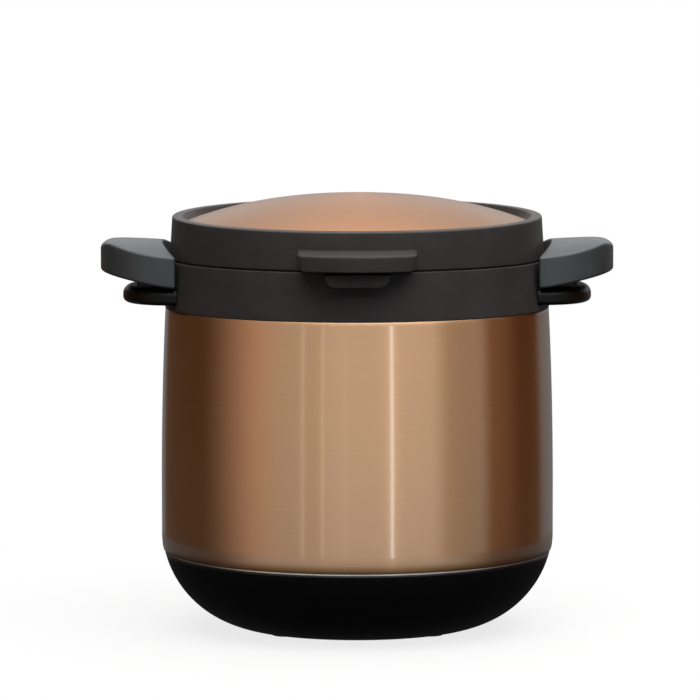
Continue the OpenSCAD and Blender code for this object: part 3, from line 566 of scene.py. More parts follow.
class Sheet:
    """A node tree with short calls that add its nodes and join them."""

    def __init__(self, tree: bpy.types.NodeTree) -> None:
        """Starts from an empty tree."""
        self.tree = tree
        tree.nodes.clear()

    def add(self, kind: str, sockets: dict | None = None, **settings: object) -> bpy.types.Node:
        """Adds a node.

        Args:
            kind: the node's type, without its prefix.
            sockets: values of its inputs, or the outputs that are joined to them.
            settings: its other settings.

        Returns:
            The node.
        """
        node = self.tree.nodes.new(f"ShaderNode{kind}")
        for key, value in settings.items():
            setattr(node, key, value)
        for key, value in (sockets or {}).items():
            if isinstance(value, Socket):
                self.tree.links.new(value, node.inputs[key])
            else:
                node.inputs[key].default_value = value
        return node

    def place(self) -> Socket:
        """The place on the piece, in metres."""
        return self.add("TexCoord").outputs["Object"]

    def math(self, operation: str, one: Socket, other: Socket | float) -> Socket:
        """The result of a sum with two values."""
        return self.add("Math", {0: one, 1: other}, operation=operation).outputs[0]

    def noise(self, place: Socket, stretch: Sequence[float], detail: float = 3,
              blur: float = 0.6) -> Socket:
        """Noise on a place that is stretched by a factor for each axis.

        Args:
            place: the output that gives the place.
            stretch: cells per metre along each axis.
            detail: number of finer layers.
            blur: weight of the finer layers.

        Returns:
            The noise's value, about 0.5 on average.
        """
        scaled = self.add("VectorMath", {0: place, 1: stretch}, operation="MULTIPLY")
        made = self.add("TexNoise", {
            "Vector": scaled.outputs[0], "Scale": 1.0, "Detail": detail, "Roughness": blur,
        })
        return made.outputs["Fac"]

    def span(self, value: Socket, low: float, high: float, start: float = 0.3,
             stop: float = 0.7, soft: bool = False) -> Socket:
        """A value, by default a noise, spread from start..stop to low..high, evenly or softly."""
        made = self.add("MapRange", {
            "Value": value, "From Min": start, "From Max": stop, "To Min": low, "To Max": high,
        }, interpolation_type="SMOOTHSTEP" if soft else "LINEAR")
        return made.outputs["Result"]

    def tint(self, factor: Socket, one: Colour, other: Colour) -> Socket:
        """A colour between two, by a factor."""
        made = self.add("Mix", {0: factor, 6: (*one, 1), 7: (*other, 1)}, data_type="RGBA")
        return made.outputs[2]

    def bump(self, height: Socket, depth: float) -> Socket:
        """The surface's direction, moved by a height of some depth in metres."""
        made = self.add("Bump", {"Strength": 1.0, "Distance": depth, "Height": height})
        return made.outputs[0]

    def seen(self) -> Socket:
        """Tells the rays that show a surface from those that only light others.

        Returns:
            One for rays from the camera, off metal or through glass, else nought.
        """
        path = self.add("LightPath").outputs
        bent = self.math("MAXIMUM", path["Is Glossy Ray"], path["Is Transmission Ray"])
        return self.math("MAXIMUM", path["Is Camera Ray"], bent)

    def end(self, shader: Socket) -> None:
        """Joins a shader to the tree's output."""
        self.add("OutputMaterial", {"Surface": shader})

    def surface(self, sockets: dict) -> None:
        """Joins a surface with these inputs to the tree's output."""
        self.end(self.add("BsdfPrincipled", sockets).outputs[0])


def new_material(name: str) -> tuple[bpy.types.Material, Sheet]:
    """Makes an empty material.

    Args:
        name: name of the material.

    Returns:
        The material and the sheet that fills it.
    """
    made = bpy.data.materials.new(name)
    made.use_nodes = True
    return made, Sheet(made.node_tree)


def shade(colour: Colour, factor: float) -> Colour:
    """A colour made darker or lighter."""
    return tuple(min(c * factor, 1.0) for c in colour)


@dataclass(frozen=True)
class Finish:
    """A finish: its name, the record's slot, its colour and its roughness."""

    name: str
    slot: Slot
    colour: Colour
    roughness: float

    def material(self) -> bpy.types.Material:
        """The finish as a material, made once.

        Returns:
            The material.
        """
        found = bpy.data.materials.get(self.name)
        if found is None:
            found, sheet = new_material(self.name)
            found.diffuse_color = (*self.colour, 1)
            self.dress(sheet)
        return found

    def mottled(self, sheet: Sheet, value: Socket, share: float) -> Socket:
        """The colour, darker or lighter by a share as a noise value goes down or up."""
        dark, light = shade(self.colour, 1 - share), shade(self.colour, 1 + share)
        return sheet.tint(sheet.span(value, 0, 1), dark, light)

    def dress(self, sheet: Sheet) -> None:
        """Fills the material's nodes."""
        raise NotImplementedError


@dataclass(frozen=True)
class BrushedMetal(Finish):
    """Metal brushed round its axis, clear or under a tinted lacquer.

    The brush lines are noise drawn out round the axis: its cells are lines per metre along the
    surface and a few per metre across. They move the colour, the roughness and the surface a
    little. The highlight is drawn out across the lines.
    """

    lines: float = 2600.0
    drawn: float = 5.0
    smears: float = 22.0
    depth: float = 0.0000004
    uneven: float = 0.02
    smeared: float = 0.01
    anisotropy: float = 0.75
    lacquer: float = 0.0
    lacquer_roughness: float = 0.1
    lacquer_ior: float = 1.5
    tone: float = 0.035

    def dress(self, sheet: Sheet) -> None:
        """Fills the material's nodes.

        Args:
            sheet: the material's sheet.
        """
        where = sheet.add("SeparateXYZ", {0: sheet.place()}).outputs
        along = sheet.add("SeparateXYZ", {0: sheet.add("UVMap", uv_map=UV_NAME).outputs[0]})
        place = sheet.add("CombineXYZ", {0: where[0], 1: where[1], 2: along.outputs[0]}).outputs[0]
        fine = sheet.noise(place, (self.drawn, self.drawn, self.lines))
        broad = sheet.noise(place, (self.drawn / 2, self.drawn / 2, self.lines / 4), detail=2)
        smear = sheet.noise(sheet.place(), (self.smears,) * 3, detail=4)
        mean = sheet.math("MULTIPLY", sheet.math("ADD", fine, broad), 0.5)
        rough = sheet.span(mean, self.roughness - self.uneven, self.roughness + self.uneven)
        tangent = sheet.add("Tangent", direction_type="UV_MAP", uv_map=UV_NAME)
        sheet.surface({
            "Base Color": self.mottled(sheet, mean, self.tone), "Metallic": 1.0,
            "Roughness": sheet.math("ADD", rough, sheet.span(smear, -self.smeared, self.smeared)),
            "Normal": sheet.bump(fine, self.depth), "Anisotropic": self.anisotropy,
            "Tangent": tangent.outputs[0], "Coat Weight": self.lacquer,
            "Coat Roughness": self.lacquer_roughness, "Coat IOR": self.lacquer_ior,
        })


@dataclass(frozen=True)
class MouldedPlastic(Finish):
    """Moulded plastic: a fine eroded grain, faint flow marks and handling marks.

    The grain is noise of a few cells per millimetre that moves the surface. Broader noise moves
    the colour and the roughness a little.
    """

    grain: float = 1700.0
    flow: Triple = (34.0, 34.0, 60.0)
    marks: float = 140.0
    depth: float = 0.00002
    specular: float = 0.5
    mottle: float = 0.12
    handled: Pair = (-0.05, 0.06)
    uneven: float = 0.02
    milky: float = 0.0
    milky_depth: float = 0.002

    def dress(self, sheet: Sheet) -> None:
        """Fills the material's nodes.

        Args:
            sheet: the material's sheet.
        """
        place = sheet.place()
        grain = sheet.noise(place, (self.grain,) * 3, detail=2)
        flow = sheet.noise(place, self.flow, detail=4)
        marks = sheet.noise(place, (self.marks,) * 3, detail=5, blur=0.7)
        rough = sheet.span(marks, *(self.roughness + d for d in self.handled))
        sheet.surface({
            "Base Color": self.mottled(sheet, flow, self.mottle),
            "Roughness": sheet.math("ADD", rough, sheet.span(grain, -self.uneven, self.uneven)),
            "Normal": sheet.bump(grain, self.depth), "Specular IOR Level": self.specular,
            "Subsurface Weight": self.milky, "Subsurface Scale": self.milky_depth,
        })


@dataclass(frozen=True)
class SpeckledMetal(Finish):
    """Small metal pieces: plated, cast or rolled, with a crystalline or crinkled surface.

    Cells of noise in all directions move the colour, the roughness and the surface.
    """

    cells: float = 900.0
    depth: float = 0.00001
    tone: float = 0.1
    uneven: float = 0.07

    def dress(self, sheet: Sheet) -> None:
        """Fills the material's nodes.

        Args:
            sheet: the material's sheet.
        """
        place = sheet.place()
        cells = sheet.noise(place, (self.cells,) * 3)
        broad = sheet.noise(place, (self.cells / 8,) * 3)
        sheet.surface({
            "Base Color": self.mottled(sheet, broad, self.tone), "Metallic": 1.0,
            "Normal": sheet.bump(cells, self.depth), "Roughness": sheet.span(
                cells, self.roughness - self.uneven, self.roughness + self.uneven),
        })


@dataclass(frozen=True)
class CellFoam(Finish):
    """Insulating foam: open cells, with painted shade for the pores that darkens the colour with the
    distance from each cell's point.
    """

    cells: float = 700.0
    depth: float = 0.0004
    pore_shade_tone: float = 0.7

    def dress(self, sheet: Sheet) -> None:
        """Fills the material's nodes.

        Args:
            sheet: the material's sheet.
        """
        cells = sheet.add("TexVoronoi", {"Vector": sheet.place(), "Scale": self.cells})
        pores = cells.outputs["Distance"]
        sheet.surface({
            # Painted shade: the colour darkens with the distance from the nearest cell point.
            "Base Color": sheet.tint(pores, self.colour, shade(self.colour, self.pore_shade_tone)),
            "Roughness": self.roughness, "Normal": sheet.bump(pores, self.depth),
        })


COPPER = BrushedMetal("brushed_copper", Slot.COPPER, (0.54, 0.294, 0.129), 0.30,
                      lacquer=1.0, lacquer_roughness=0.08, lacquer_ior=2.0, anisotropy=0.9)
# The dome's copper is painted darker than the shell's copper: painted shade that keeps the lamps
# mirrored in the dome from clipping to white.
DOME_COPPER_SHADED = BrushedMetal("spun_copper_painted_darker", Slot.COPPER, (0.345, 0.17, 0.081), 0.36,
                           lacquer=0.06, lacquer_roughness=0.16, anisotropy=0.5)
SATIN_STEEL = BrushedMetal("satin_steel", Slot.STEEL, (0.56, 0.56, 0.55), 0.27)
BRIGHT_STEEL = BrushedMetal("bright_steel", Slot.STEEL, (0.60, 0.60, 0.59), 0.16, anisotropy=0.5)
STRAP_STEEL = SpeckledMetal("rolled_steel", Slot.STEEL, (0.56, 0.56, 0.55), 0.26)
ZINC = SpeckledMetal("zinc_plate", Slot.ZINC, (0.50, 0.50, 0.50), 0.34)
DISC_METAL = BrushedMetal("turned_aluminium", Slot.DISC, (0.60, 0.60, 0.61), 0.36, lines=1600.0)
FOIL = SpeckledMetal("wrapped_foil", Slot.FOIL, (0.70, 0.70, 0.70), 0.2, cells=260.0,
                     depth=0.0003)
DARK = MouldedPlastic("brown_black_plastic", Slot.DARK, (0.052, 0.047, 0.046), 0.42,
                      specular=0.1)
BLACK = MouldedPlastic("black_plastic", Slot.BLACK, (0.0024, 0.0024, 0.0028), 0.3,
                       depth=0.000006, specular=0.08)
BRACKET_BLACK = MouldedPlastic("gloss_black_plastic", Slot.BLACK, (0.004, 0.004, 0.0045), 0.32,
                               depth=0.000004, specular=0.15)
GREY = MouldedPlastic("blue_grey_plastic", Slot.GREY, (0.047, 0.058, 0.064), 0.42,
                      grain=1300.0, depth=0.00003)
HEATPROOF = MouldedPlastic("heatproof_plastic", Slot.HEATPROOF, (0.012, 0.012, 0.012), 0.38)
LINER = MouldedPlastic("liner_plastic", Slot.LINER, (0.30, 0.30, 0.29), 0.45, mottle=0.04)
SILICONE = MouldedPlastic("grey_silicone", Slot.SILICONE, (0.32, 0.32, 0.31), 0.5,
                          mottle=0.05, milky=0.25)
RUBBER = MouldedPlastic("foot_rubber", Slot.RUBBER, (0.02, 0.02, 0.02), 0.7, grain=900.0,
                        depth=0.00006, specular=0.3)
FOAM = CellFoam("insulating_foam", Slot.FOAM, (0.75, 0.73, 0.66), 0.9)


# Sub-assemblies, in millimetres and degrees


@dataclass
class Base:
    """The black bowl under the shell and its four feet."""

    floor_z: float = 1.5
    top_z: float = 50.0
    bowl_centre: Pair = (62.54, 65.21)
    bowl_r: float = 65.8
    wall: float = 2.5
    rim_round: float = 0.9
    lip_r: float = 124.2
    lip_h: float = 4.0
    screw_circle_r: float = 48.0
    screw_turns: tuple[float, ...] = (90, 210, 330)
    screw_bore: Pair = (3.8, 2.4)
    foot_circle_r: float = 66.0
    foot_turns: tuple[float, ...] = (45, 135, 225, 315)
    foot_r: float = 9.0
    foot_eye_r: float = 0.3
    foot_top_z: float = 2.5
    foot_rounds: tuple[float, ...] = (0.1, 0.8, 0.2, 0.1)

    def bowl(self, r: float, low_z: float, high_z: float) -> Points:
        """Arc of the bowl at a radius of curvature between two heights."""
        start, stop = np.degrees(np.arcsin((np.array([low_z, high_z]) - self.bowl_centre[1]) / r))
        return arc(self.bowl_centre, r, start, stop, steps=60)

    def profile(self) -> Points:
        """Section of the bowl from the axis out, up, over the rim and its inner lip, back in.

        Returns:
            Points of radius and height.
        """
        edge_z, inside_z = self.top_z - self.rim_round, self.floor_z + self.wall
        outer = self.bowl(self.bowl_r, self.floor_z, edge_z)
        inner = self.bowl(self.bowl_r - self.wall, inside_z, edge_z)[::-1]
        half = (outer[-1, 0] - inner[0, 0]) / 2
        rim = arc((outer[-1] + inner[0]) / 2, (half, self.rim_round), 0, 90, steps=6)[1:]
        lip_z = self.top_z + self.lip_h
        lip = [[self.lip_r, self.top_z], [self.lip_r, lip_z], [inner[0, 0], lip_z]]
        return np.concatenate([
            [[EYE_R, self.floor_z]], outer, rim, lip, inner, [[EYE_R, inside_z]],
        ])

    def build(self) -> None:
        """Makes the bowl, with its screw holes, and the feet."""
        holes = bores(around(self.screw_circle_r, self.screw_turns), self.screw_bore[0],
                      self.floor_z, self.screw_bore[1])
        piece("base_cup", [turned(self.profile(), longest=4.0)], BLACK, Body.VESSEL, holes)
        steps = 8
        pad = box((self.foot_eye_r, 0), (self.foot_r, self.foot_top_z), self.foot_rounds, steps)
        rings = lathe(denser(pad[steps + 1:], longest=1.5, closed=False), steps=64)
        places = around(self.foot_circle_r, self.foot_turns)
        piece("rubber_feet", [skin(rings + np.array([x, y, 0])) for x, y in places], RUBBER,
              Body.VESSEL)


@dataclass
class Shell:
    """The copper-coloured outer shell and the steel inner vessel."""

    belly_r: float = 128.4
    shoulder_r: float = 125.4
    hem_z: float = 50.8
    hem_in: float = 1.6
    hem_h: float = 11.0
    hem_start: float = -84.0
    belly_z: float = 88.2
    shoulder_z: float = 210.1
    shoulder_round: float = 0.35
    shoulder_start: float = 4.0
    inner_round: float = 0.05
    sheet: float = 0.8
    neck_r: float = 117.7
    neck_z: float = 232.7
    vessel_r: float = 114.3
    vessel_gap: float = 0.1
    vessel_z: float = 24.0
    vessel_corner: float = 30.0
    mouth_z: float = 233.6
    mouth_rounds: tuple[float, ...] = (0.3, 0.3, 0.3, 0.6)

    def side(self, inset: float) -> Points:
        """Side of the shell: an oval hem, an upright belly and a parabola above it.

        Args:
            inset: how far it is set in.

        Returns:
            Points of radius and height, going up.
        """
        hem = arc((self.belly_r - self.hem_in - inset, self.hem_z + self.hem_h),
                  (self.hem_in, self.hem_h), self.hem_start, 0, steps=18)
        z = np.linspace(self.belly_z, self.shoulder_z - inset - self.shoulder_round, 50)
        share = (z - self.belly_z) / (self.shoulder_z - self.belly_z)
        r = self.belly_r - (self.belly_r - self.shoulder_r) * share**2 - inset
        return np.concatenate([hem, np.stack([r, z], -1)])

    def profile(self) -> Points:
        """Section of the shell: outside up, over the shoulder and neck, inside down.

        Returns:
            Points of radius and height.
        """
        corner = np.array([self.shoulder_r, self.shoulder_z])
        lip, inside = self.vessel_r + self.vessel_gap, self.neck_r - self.sheet
        under_z = self.neck_z - self.sheet
        neck = [
            [self.neck_r, self.shoulder_z], [self.neck_r, self.neck_z], [lip, self.neck_z],
            [lip, under_z], [inside, under_z], [inside, self.shoulder_z - self.sheet],
        ]
        return np.concatenate([
            self.side(0),
            arc(corner - self.shoulder_round, self.shoulder_round, self.shoulder_start, 90,
                steps=12),
            neck,
            arc(corner - self.sheet - self.inner_round, self.inner_round, 90,
                self.shoulder_start, steps=6),
            self.side(self.sheet)[::-1],
        ])

    def vessel_profile(self) -> Points:
        """Section of the inner vessel from the axis out, up, over the mouth and back in.

        Returns:
            Points of radius and height.
        """
        centre = (self.vessel_r - self.vessel_corner, self.vessel_z + self.vessel_corner)
        under_z = self.mouth_z - self.sheet
        mouth = rounded([
            (self.vessel_r, under_z), (self.neck_r, under_z), (self.neck_r, self.mouth_z),
            (self.vessel_r - self.sheet, self.mouth_z),
        ], self.mouth_rounds, steps=5)
        return np.concatenate([
            [[EYE_R, self.vessel_z]], arc(centre, self.vessel_corner, -90, 0), mouth,
            arc(centre, self.vessel_corner - self.sheet, 0, -90),
            [[EYE_R, self.vessel_z + self.sheet]],
        ])

    def build(self) -> None:
        """Makes the shell and the vessel."""
        shell = turned(self.profile(), longest=4.0, steps=288, ring=True)
        piece("outer_shell", [shell], COPPER, Body.VESSEL)
        vessel = turned(self.vessel_profile(), longest=5.0)
        piece("inner_vessel", [vessel], SATIN_STEEL, Body.VESSEL)


@dataclass
class Shoulder:
    """The dark ring round the mouth with its ledge, and the silicone ring under it."""

    low_z: float = 210.2
    top_z: float = 241.3
    low_r: float = 125.6
    top_r: float = 122.7
    wall: float = 3.0
    hole_r: float = 113.9
    rounds: tuple[float, ...] = (0.4, 0.5, 0.8, 0.9, 0.6, 0.5)
    ledge_w: float = 41.0
    ledge_front_y: float = -134.7
    ledge_back_y: float = -119.4
    ledge_h: float = 9.0
    ledge_drop: float = 0.1
    ledge_rounds: tuple[float, ...] = (1.0, 7.0, 7.0, 1.0)
    ledge_edges: Pair = (1.0, 0.4)
    seal_low_z: float = 233.7
    seal_top_z: float = 238.2
    seal_out_r: float = 117.6
    seal_round: float = 0.9

    def build(self) -> None:
        """Makes the ring with its ledge, and the seal."""
        seat_z = self.top_z - self.wall
        section = rounded([
            (self.low_r - self.wall, self.low_z), (self.low_r, self.low_z),
            (self.top_r, self.top_z), (self.hole_r, self.top_z),
            (self.hole_r, seat_z), (self.top_r - self.wall, seat_z),
        ], self.rounds, steps=10)
        half, high, low = self.ledge_w / 2, self.top_z - self.ledge_drop, self.top_z - self.ledge_h
        face = rounded([(-half, high), (-half, low), (half, low), (half, high)],
                       self.ledge_rounds, steps=14)
        ledge = crowned(even(face, count=260), level(self.ledge_front_y), level(self.ledge_back_y),
                        self.ledge_edges)
        ring = turned(section, longest=2.0, ring=True)
        piece("shoulder_ring", [ring, skin(facing_y(ledge))], DARK, Body.VESSEL)
        seal = box((self.hole_r, self.seal_low_z), (self.seal_out_r, self.seal_top_z),
                   self.seal_round)
        piece("mouth_seal", [turned(seal, longest=1.2, ring=True)], SILICONE, Body.VESSEL)


@dataclass
class Handles:
    """The two side handles: a blue-grey grip on a black bracket at each side."""

    grip_in_r: float = 126.7
    grip_root_x: float = 116.4
    grip_tip_x: float = 167.5
    grip_w: float = 100.0
    grip_edges: Pair = (1.8, 1.7)
    corner_soft: float = 1.7
    nose_x: float = 147.0
    nose_l: float = 20.5
    nose_h: float = 5.5
    nose_rise: float = 3.0
    nose_power: float = 2.3
    crown_z: float = 255.4
    crown_slope: float = 0.07
    crown_r: float = 165.0
    crown_blend: float = 1.1
    under_z: float = 225.4
    under_slope: float = 0.215
    under_bend: float = 9.0
    bracket_in_r: float = 123.0
    bracket_root_x: float = 116.0
    bracket_tip_x: float = 153.0
    bracket_w: float = 94.0
    bracket_z: Pair = (214.1, 225.0)
    bracket_edges: Pair = (3.4, 5.6)
    saddle_x: Pair = (128.7, 142.7)
    saddle_w: float = 60.0
    saddle_round: float = 2.5
    saddle_low: float = 4.0
    saddle_in: float = 0.6
    saddle_edges: Pair = (0.3, 0.3)
    screw_x: float = 135.7
    screw_y: float = 20.0
    screw_bore: Pair = (3.8, 1.8)

    def plan(self, root_x: float, tip_x: float, width: float, in_r: float) -> Points:
        """A rounded D from above: a squared oval nose, and a hollow back round the body.

        The nose runs as (cos a)^(2 / p) outward and (sin a)^(2 / p) across, p being its fullness.

        Args:
            root_x: where the nose starts.
            tip_x: where it ends.
            width: width at the root.
            in_r: radius of the hollow back.

        Returns:
            The outline, softened at its two corners.
        """
        a = np.linspace(-np.pi / 2, np.pi / 2, 241)
        power = 2 / self.nose_power
        nose = np.stack([
            root_x + (tip_x - root_x) * np.abs(np.cos(a)) ** power,
            np.sign(a) * width / 2 * np.abs(np.sin(a)) ** power,
        ], -1)
        reach = math.degrees(math.asin(width / 2 / in_r))
        back = arc((0, 0), in_r, reach, -reach, steps=80)[1:-1]
        return softened(np.concatenate([nose, back]), self.corner_soft, count=420)

    def crown(self, x: Points, y: Points) -> Points:
        """Height of a grip's top: the lower of a barrel's back and a falling nose, blended.

        Args:
            x: how far out.
            y: how far across.

        Returns:
            The heights.
        """
        line = self.crown_z + self.crown_slope * (x - self.nose_x)
        barrel = line - self.crown_r + np.sqrt(self.crown_r**2 - y**2)
        ahead = np.clip((x - self.nose_x) / self.nose_l, 0, 1)
        nose = self.crown_z - self.nose_h * (1 - np.sqrt(1 - ahead**2))
        behind = line + self.nose_rise * (self.nose_x - x) / self.nose_l
        nose = np.where(x > self.nose_x, nose, behind)
        soft = self.crown_blend
        return -soft * np.logaddexp(-barrel / soft, -nose / soft)

    def underside(self, x: Points, y: Points) -> Points:
        """Height of a grip's underside: a hyperbola, level at the body and rising outward."""
        out = np.clip(x - self.grip_root_x, 0, None)
        return self.under_z + self.under_slope * (np.hypot(out, self.under_bend) - self.under_bend)

    def build(self) -> None:
        """Makes both brackets and both grips."""
        grip = crowned(self.plan(self.grip_root_x, self.grip_tip_x, self.grip_w, self.grip_in_r),
                       self.underside, self.crown, self.grip_edges, steps=10, across=26)
        low_z, top_z = self.bracket_z
        plate = crowned(
            self.plan(self.bracket_root_x, self.bracket_tip_x, self.bracket_w, self.bracket_in_r),
            level(low_z), level(top_z), self.bracket_edges, steps=10)
        half, (near, far) = self.saddle_w / 2, self.saddle_x
        foot = even(box((near, -half), (far, half), self.saddle_round), count=240)
        saddle = crowned(foot, level(low_z + self.saddle_low),
                         lambda x, y: self.underside(x, y) + self.saddle_in, self.saddle_edges)
        screws = np.array([[self.screw_x, -self.screw_y], [self.screw_x, self.screw_y]])
        for side in Side:
            flip = np.array([side.value, 1, 1])
            label = side.name.lower()
            holes = bores(screws * flip[:2], self.screw_bore[0], low_z, self.screw_bore[1])
            piece(f"handle_bracket_{label}", [skin(plate * flip), skin(saddle * flip)],
                  BRACKET_BLACK, Body.VESSEL, holes)
            piece(f"handle_grip_{label}", [skin(grip * flip)], GREY, Body.VESSEL)


@dataclass
class Hinge:
    """The bracket on the ring's back whose ears carry the lid's pin."""

    axis_y: float = 134.4
    axis_z: float = 242.4
    knuckle_r: float = 8.0
    ear_x: Pair = (25.3, 37.3)
    ear_sunk: float = 1.5
    ear_soft: float = 0.5
    ear_edges: Pair = (0.7, 0.7)
    block_z: Pair = (214.1, 233.7)
    block_in_r: float = 123.2
    block_soft: float = 0.8
    block_edges: Pair = (0.9, 0.9)

    def block_low(self, x: Points, y: Points) -> Points:
        """Height of the block's underside: level, then rising one to one beyond the axis."""
        soft = self.block_soft
        return self.block_z[0] + soft * np.logaddexp(0, (y - self.axis_y) / soft)

    def build(self) -> None:
        """Makes the block and its two ears."""
        near, half = self.ear_x
        front_y, back_y = self.axis_y - self.knuckle_r, self.axis_y + self.knuckle_r
        reach = math.degrees(math.asin(half / self.block_in_r))
        hollow = arc((0, 0), self.block_in_r, 90 - reach, 90 + reach, steps=60)
        plan = np.concatenate([hollow, [[-half, back_y], [half, back_y]]])
        block = crowned(softened(plan, self.block_soft, count=360), self.block_low,
                        level(self.block_z[1]), self.block_edges)
        top = arc((self.axis_y, self.axis_z), self.knuckle_r, 0, 180, steps=60)
        foot_z = self.block_z[1] - self.ear_sunk
        outline = np.concatenate([top, [[front_y, foot_z], [back_y, foot_z]]])
        outline = softened(outline, self.ear_soft, count=240)
        ears = [crowned(outline, level(low), level(high), self.ear_edges)
                for low, high in ((-half, -near), (near, half))]
        piece("hinge_bracket", [skin(block), *(skin(facing_x(e)) for e in ears)], DARK,
              Body.VESSEL)


@dataclass
class Lid:
    """The hinged lid: its dark rim with tab and hinge arm, the dome, the liner pan and the seal."""

    hinge: Hinge = field(default_factory=Hinge)
    low_z: float = 242.4
    hem_z: float = 241.8
    low_r: float = 122.4
    crest_z: float = 270.0
    top_r: float = 120.7
    lift_z: float = 255.0
    lift_gap: float = 0.3
    crest_slope: float = 0.03
    wall: float = 3.0
    rim_rounds: tuple[float, ...] = (
        0.4, 1.1, 1.3, 1.2, 0.25, 0.2, 0.4, 0.4, 0.6, 0.8, 0.5, 0.5, 0.3,
    )
    dome_r: float = 111.7
    dome_gap: float = 0.1
    dome_eye: Pair = (0.5, 2.0)
    dome_edge: Pair = (0.05, 0.08)
    dome_edge_z: float = 266.0
    apex_z: float = 284.0
    dome_power: float = 2.3
    slope_w: float = 2.6
    seat_r: float = 103.7
    sheet: float = 0.8
    floor_z: float = 243.4
    floor_t: float = 3.0
    floor_in_r: float = 90.4
    tab_w: float = 75.4
    tab_front_y: float = -142.4
    tab_back_y: float = -112.0
    tab_bow: float = 10.5
    tab_soft: float = 3.3
    tab_root_h: float = 12.7
    tab_tip_h: float = 10.4
    tab_in: float = -0.2
    tab_corner: float = 5.0
    tab_edges: Pair = (1.0, 1.5)
    knuckle_x: float = 25.0
    knuckle_rounds: tuple[float, ...] = (0.3, 0.8, 0.8, 0.3)
    pin_bore_r: float = 2.56
    pin_room: float = 3.2
    arm_t: float = 7.4
    arm_in_y: float = 116.0
    arm_round: float = 0.6
    arm_edges: Pair = (0.8, 0.8)
    stop_x: float = 8.0
    stop_l: float = 10.4
    stop_t: float = 3.0
    stop_turn: float = 50.1
    stop_round: float = 0.5
    stop_edges: Pair = (0.5, 0.5)
    liner_r: float = 107.9
    liner_z: float = 235.8
    liner_top_z: float = 243.3
    liner_corner: float = 3.8
    liner_wall: float = 1.5
    screw_circle_r: float = 96.4
    screw_turns: tuple[float, ...] = (30, 90, 150, 210, 270, 330)
    screw_bore: Pair = (3.8, 1.4)
    seal_r: Pair = (110.4, 118.4)
    seal_z: Pair = (241.4, 243.3)
    seal_round: float = 0.6

    def dome_z(self, r: Points) -> Points:
        """Height of the dome at a radius: it falls from its apex as a power of the radius."""
        fall = self.apex_z - self.dome_edge_z
        return self.apex_z - fall * (r / self.dome_r) ** self.dome_power

    def rim(self) -> Points:
        """Section of the rim with the dome's seat and the lid's floor.

        Returns:
            Points of radius and height, all round.
        """
        inner, seat_edge = self.low_r - self.wall, self.dome_r + self.dome_gap
        under = self.sheet + self.dome_gap
        seat_z = self.dome_edge_z - under
        crown_z = float(self.dome_z(np.array(self.seat_r))) - under
        step_z, floor_z = seat_z - self.floor_t, self.floor_z + self.floor_t
        return rounded([
            (inner, self.hem_z), (self.low_r, self.hem_z), (self.top_r, self.crest_z),
            (self.dome_r + self.slope_w, self.crest_z), (seat_edge, self.dome_edge_z),
            (seat_edge, seat_z), (self.seat_r, crown_z), (self.seat_r, step_z),
            (self.top_r - self.wall, step_z), (inner, floor_z), (self.floor_in_r, floor_z),
            (self.floor_in_r, self.floor_z), (inner, self.floor_z),
        ], self.rim_rounds)

    def raised(self, rings: Points) -> Points:
        """The rim's rings with the crest sloping up evenly from the tab to the hinge.

        The slope sets in softly up the rim's side, and only outside the dome.

        Args:
            rings: the rim's rings with a level crest.

        Returns:
            The sloping rings.
        """
        x, y, z = np.moveaxis(rings, -1, 0)
        up = eased((z - self.lift_z) / (self.crest_z - self.lift_z))
        out = np.clip((np.hypot(x, y) - self.dome_r - self.lift_gap) / self.slope_w, 0, 1)
        return np.stack([x, y, z + up * out * self.crest_slope * y], -1)

    def tab_low(self, x: Points, y: Points) -> Points:
        """Height of the tab's underside: level, and rising in a quarter round at both ends."""
        over = np.clip(np.abs(x) - self.tab_w / 2 + self.tab_corner, 0, self.tab_corner)
        return self.low_z + self.tab_corner - np.sqrt(self.tab_corner**2 - over**2)

    def tab_top(self, x: Points, y: Points) -> Points:
        """Height of the tab's top: falling evenly from the rim's face to the bowed front.

        Args:
            x: how far across.
            y: how far back.

        Returns:
            The heights.
        """
        wall = -np.sqrt(self.low_r**2 - x**2)
        front = self.tab_front_y + self.tab_bow_r - np.sqrt(self.tab_bow_r**2 - x**2)
        share = np.clip((wall - y) / (wall - front), self.tab_in, 1)
        return self.low_z + self.tab_root_h + (self.tab_tip_h - self.tab_root_h) * share

    @property
    def tab_bow_r(self) -> float:
        """Radius of the tab's bowed front, from its width and its bow."""
        return (self.tab_w**2 / 4 + self.tab_bow**2) / (2 * self.tab_bow)

    def tab(self) -> Points:
        """The front tab: a bowed front between rounded ends, under a sloping top.

        Returns:
            Its rings.
        """
        half, bow_r = self.tab_w / 2, self.tab_bow_r
        reach = math.degrees(math.asin(half / bow_r))
        bow = arc((0, bow_r + self.tab_front_y), bow_r, -90 - reach, -90 + reach, steps=80)
        plan = np.concatenate([[[-half, self.tab_back_y]], bow, [[half, self.tab_back_y]]])
        return crowned(softened(plan, self.tab_soft, count=320), self.tab_low, self.tab_top,
                       self.tab_edges, steps=8, across=16)

    def arm(self) -> list[Skin]:
        """The hinge arm, its knuckle bored for the pin, and the stop.

        Returns:
            A skin for each.
        """
        axis = np.array([self.hinge.axis_y, self.hinge.axis_z])
        wide, half = self.knuckle_x, self.stop_t / 2
        web = box((self.arm_in_y, self.low_z),
                  (axis[0] - self.pin_room, self.low_z + self.arm_t), self.arm_round)
        web = crowned(even(web, count=200), level(-wide), level(wide), self.arm_edges)
        sleeve = box((self.pin_bore_r, -wide), (self.hinge.knuckle_r, wide), self.knuckle_rounds)
        knuckle = facing_x(lathe(denser(sleeve, longest=2.0), steps=128)) + np.array([0, *axis])
        flat = even(box((self.pin_room, -half), (self.stop_l, half), self.stop_round), count=160)
        c, s = math.cos(math.radians(self.stop_turn)), math.sin(math.radians(self.stop_turn))
        stop = crowned(flat @ np.array([[c, s], [-s, c]]) + axis, level(-self.stop_x),
                       level(self.stop_x), self.stop_edges)
        return [skin(facing_x(web)), skin(knuckle, closed=True), skin(facing_x(stop))]

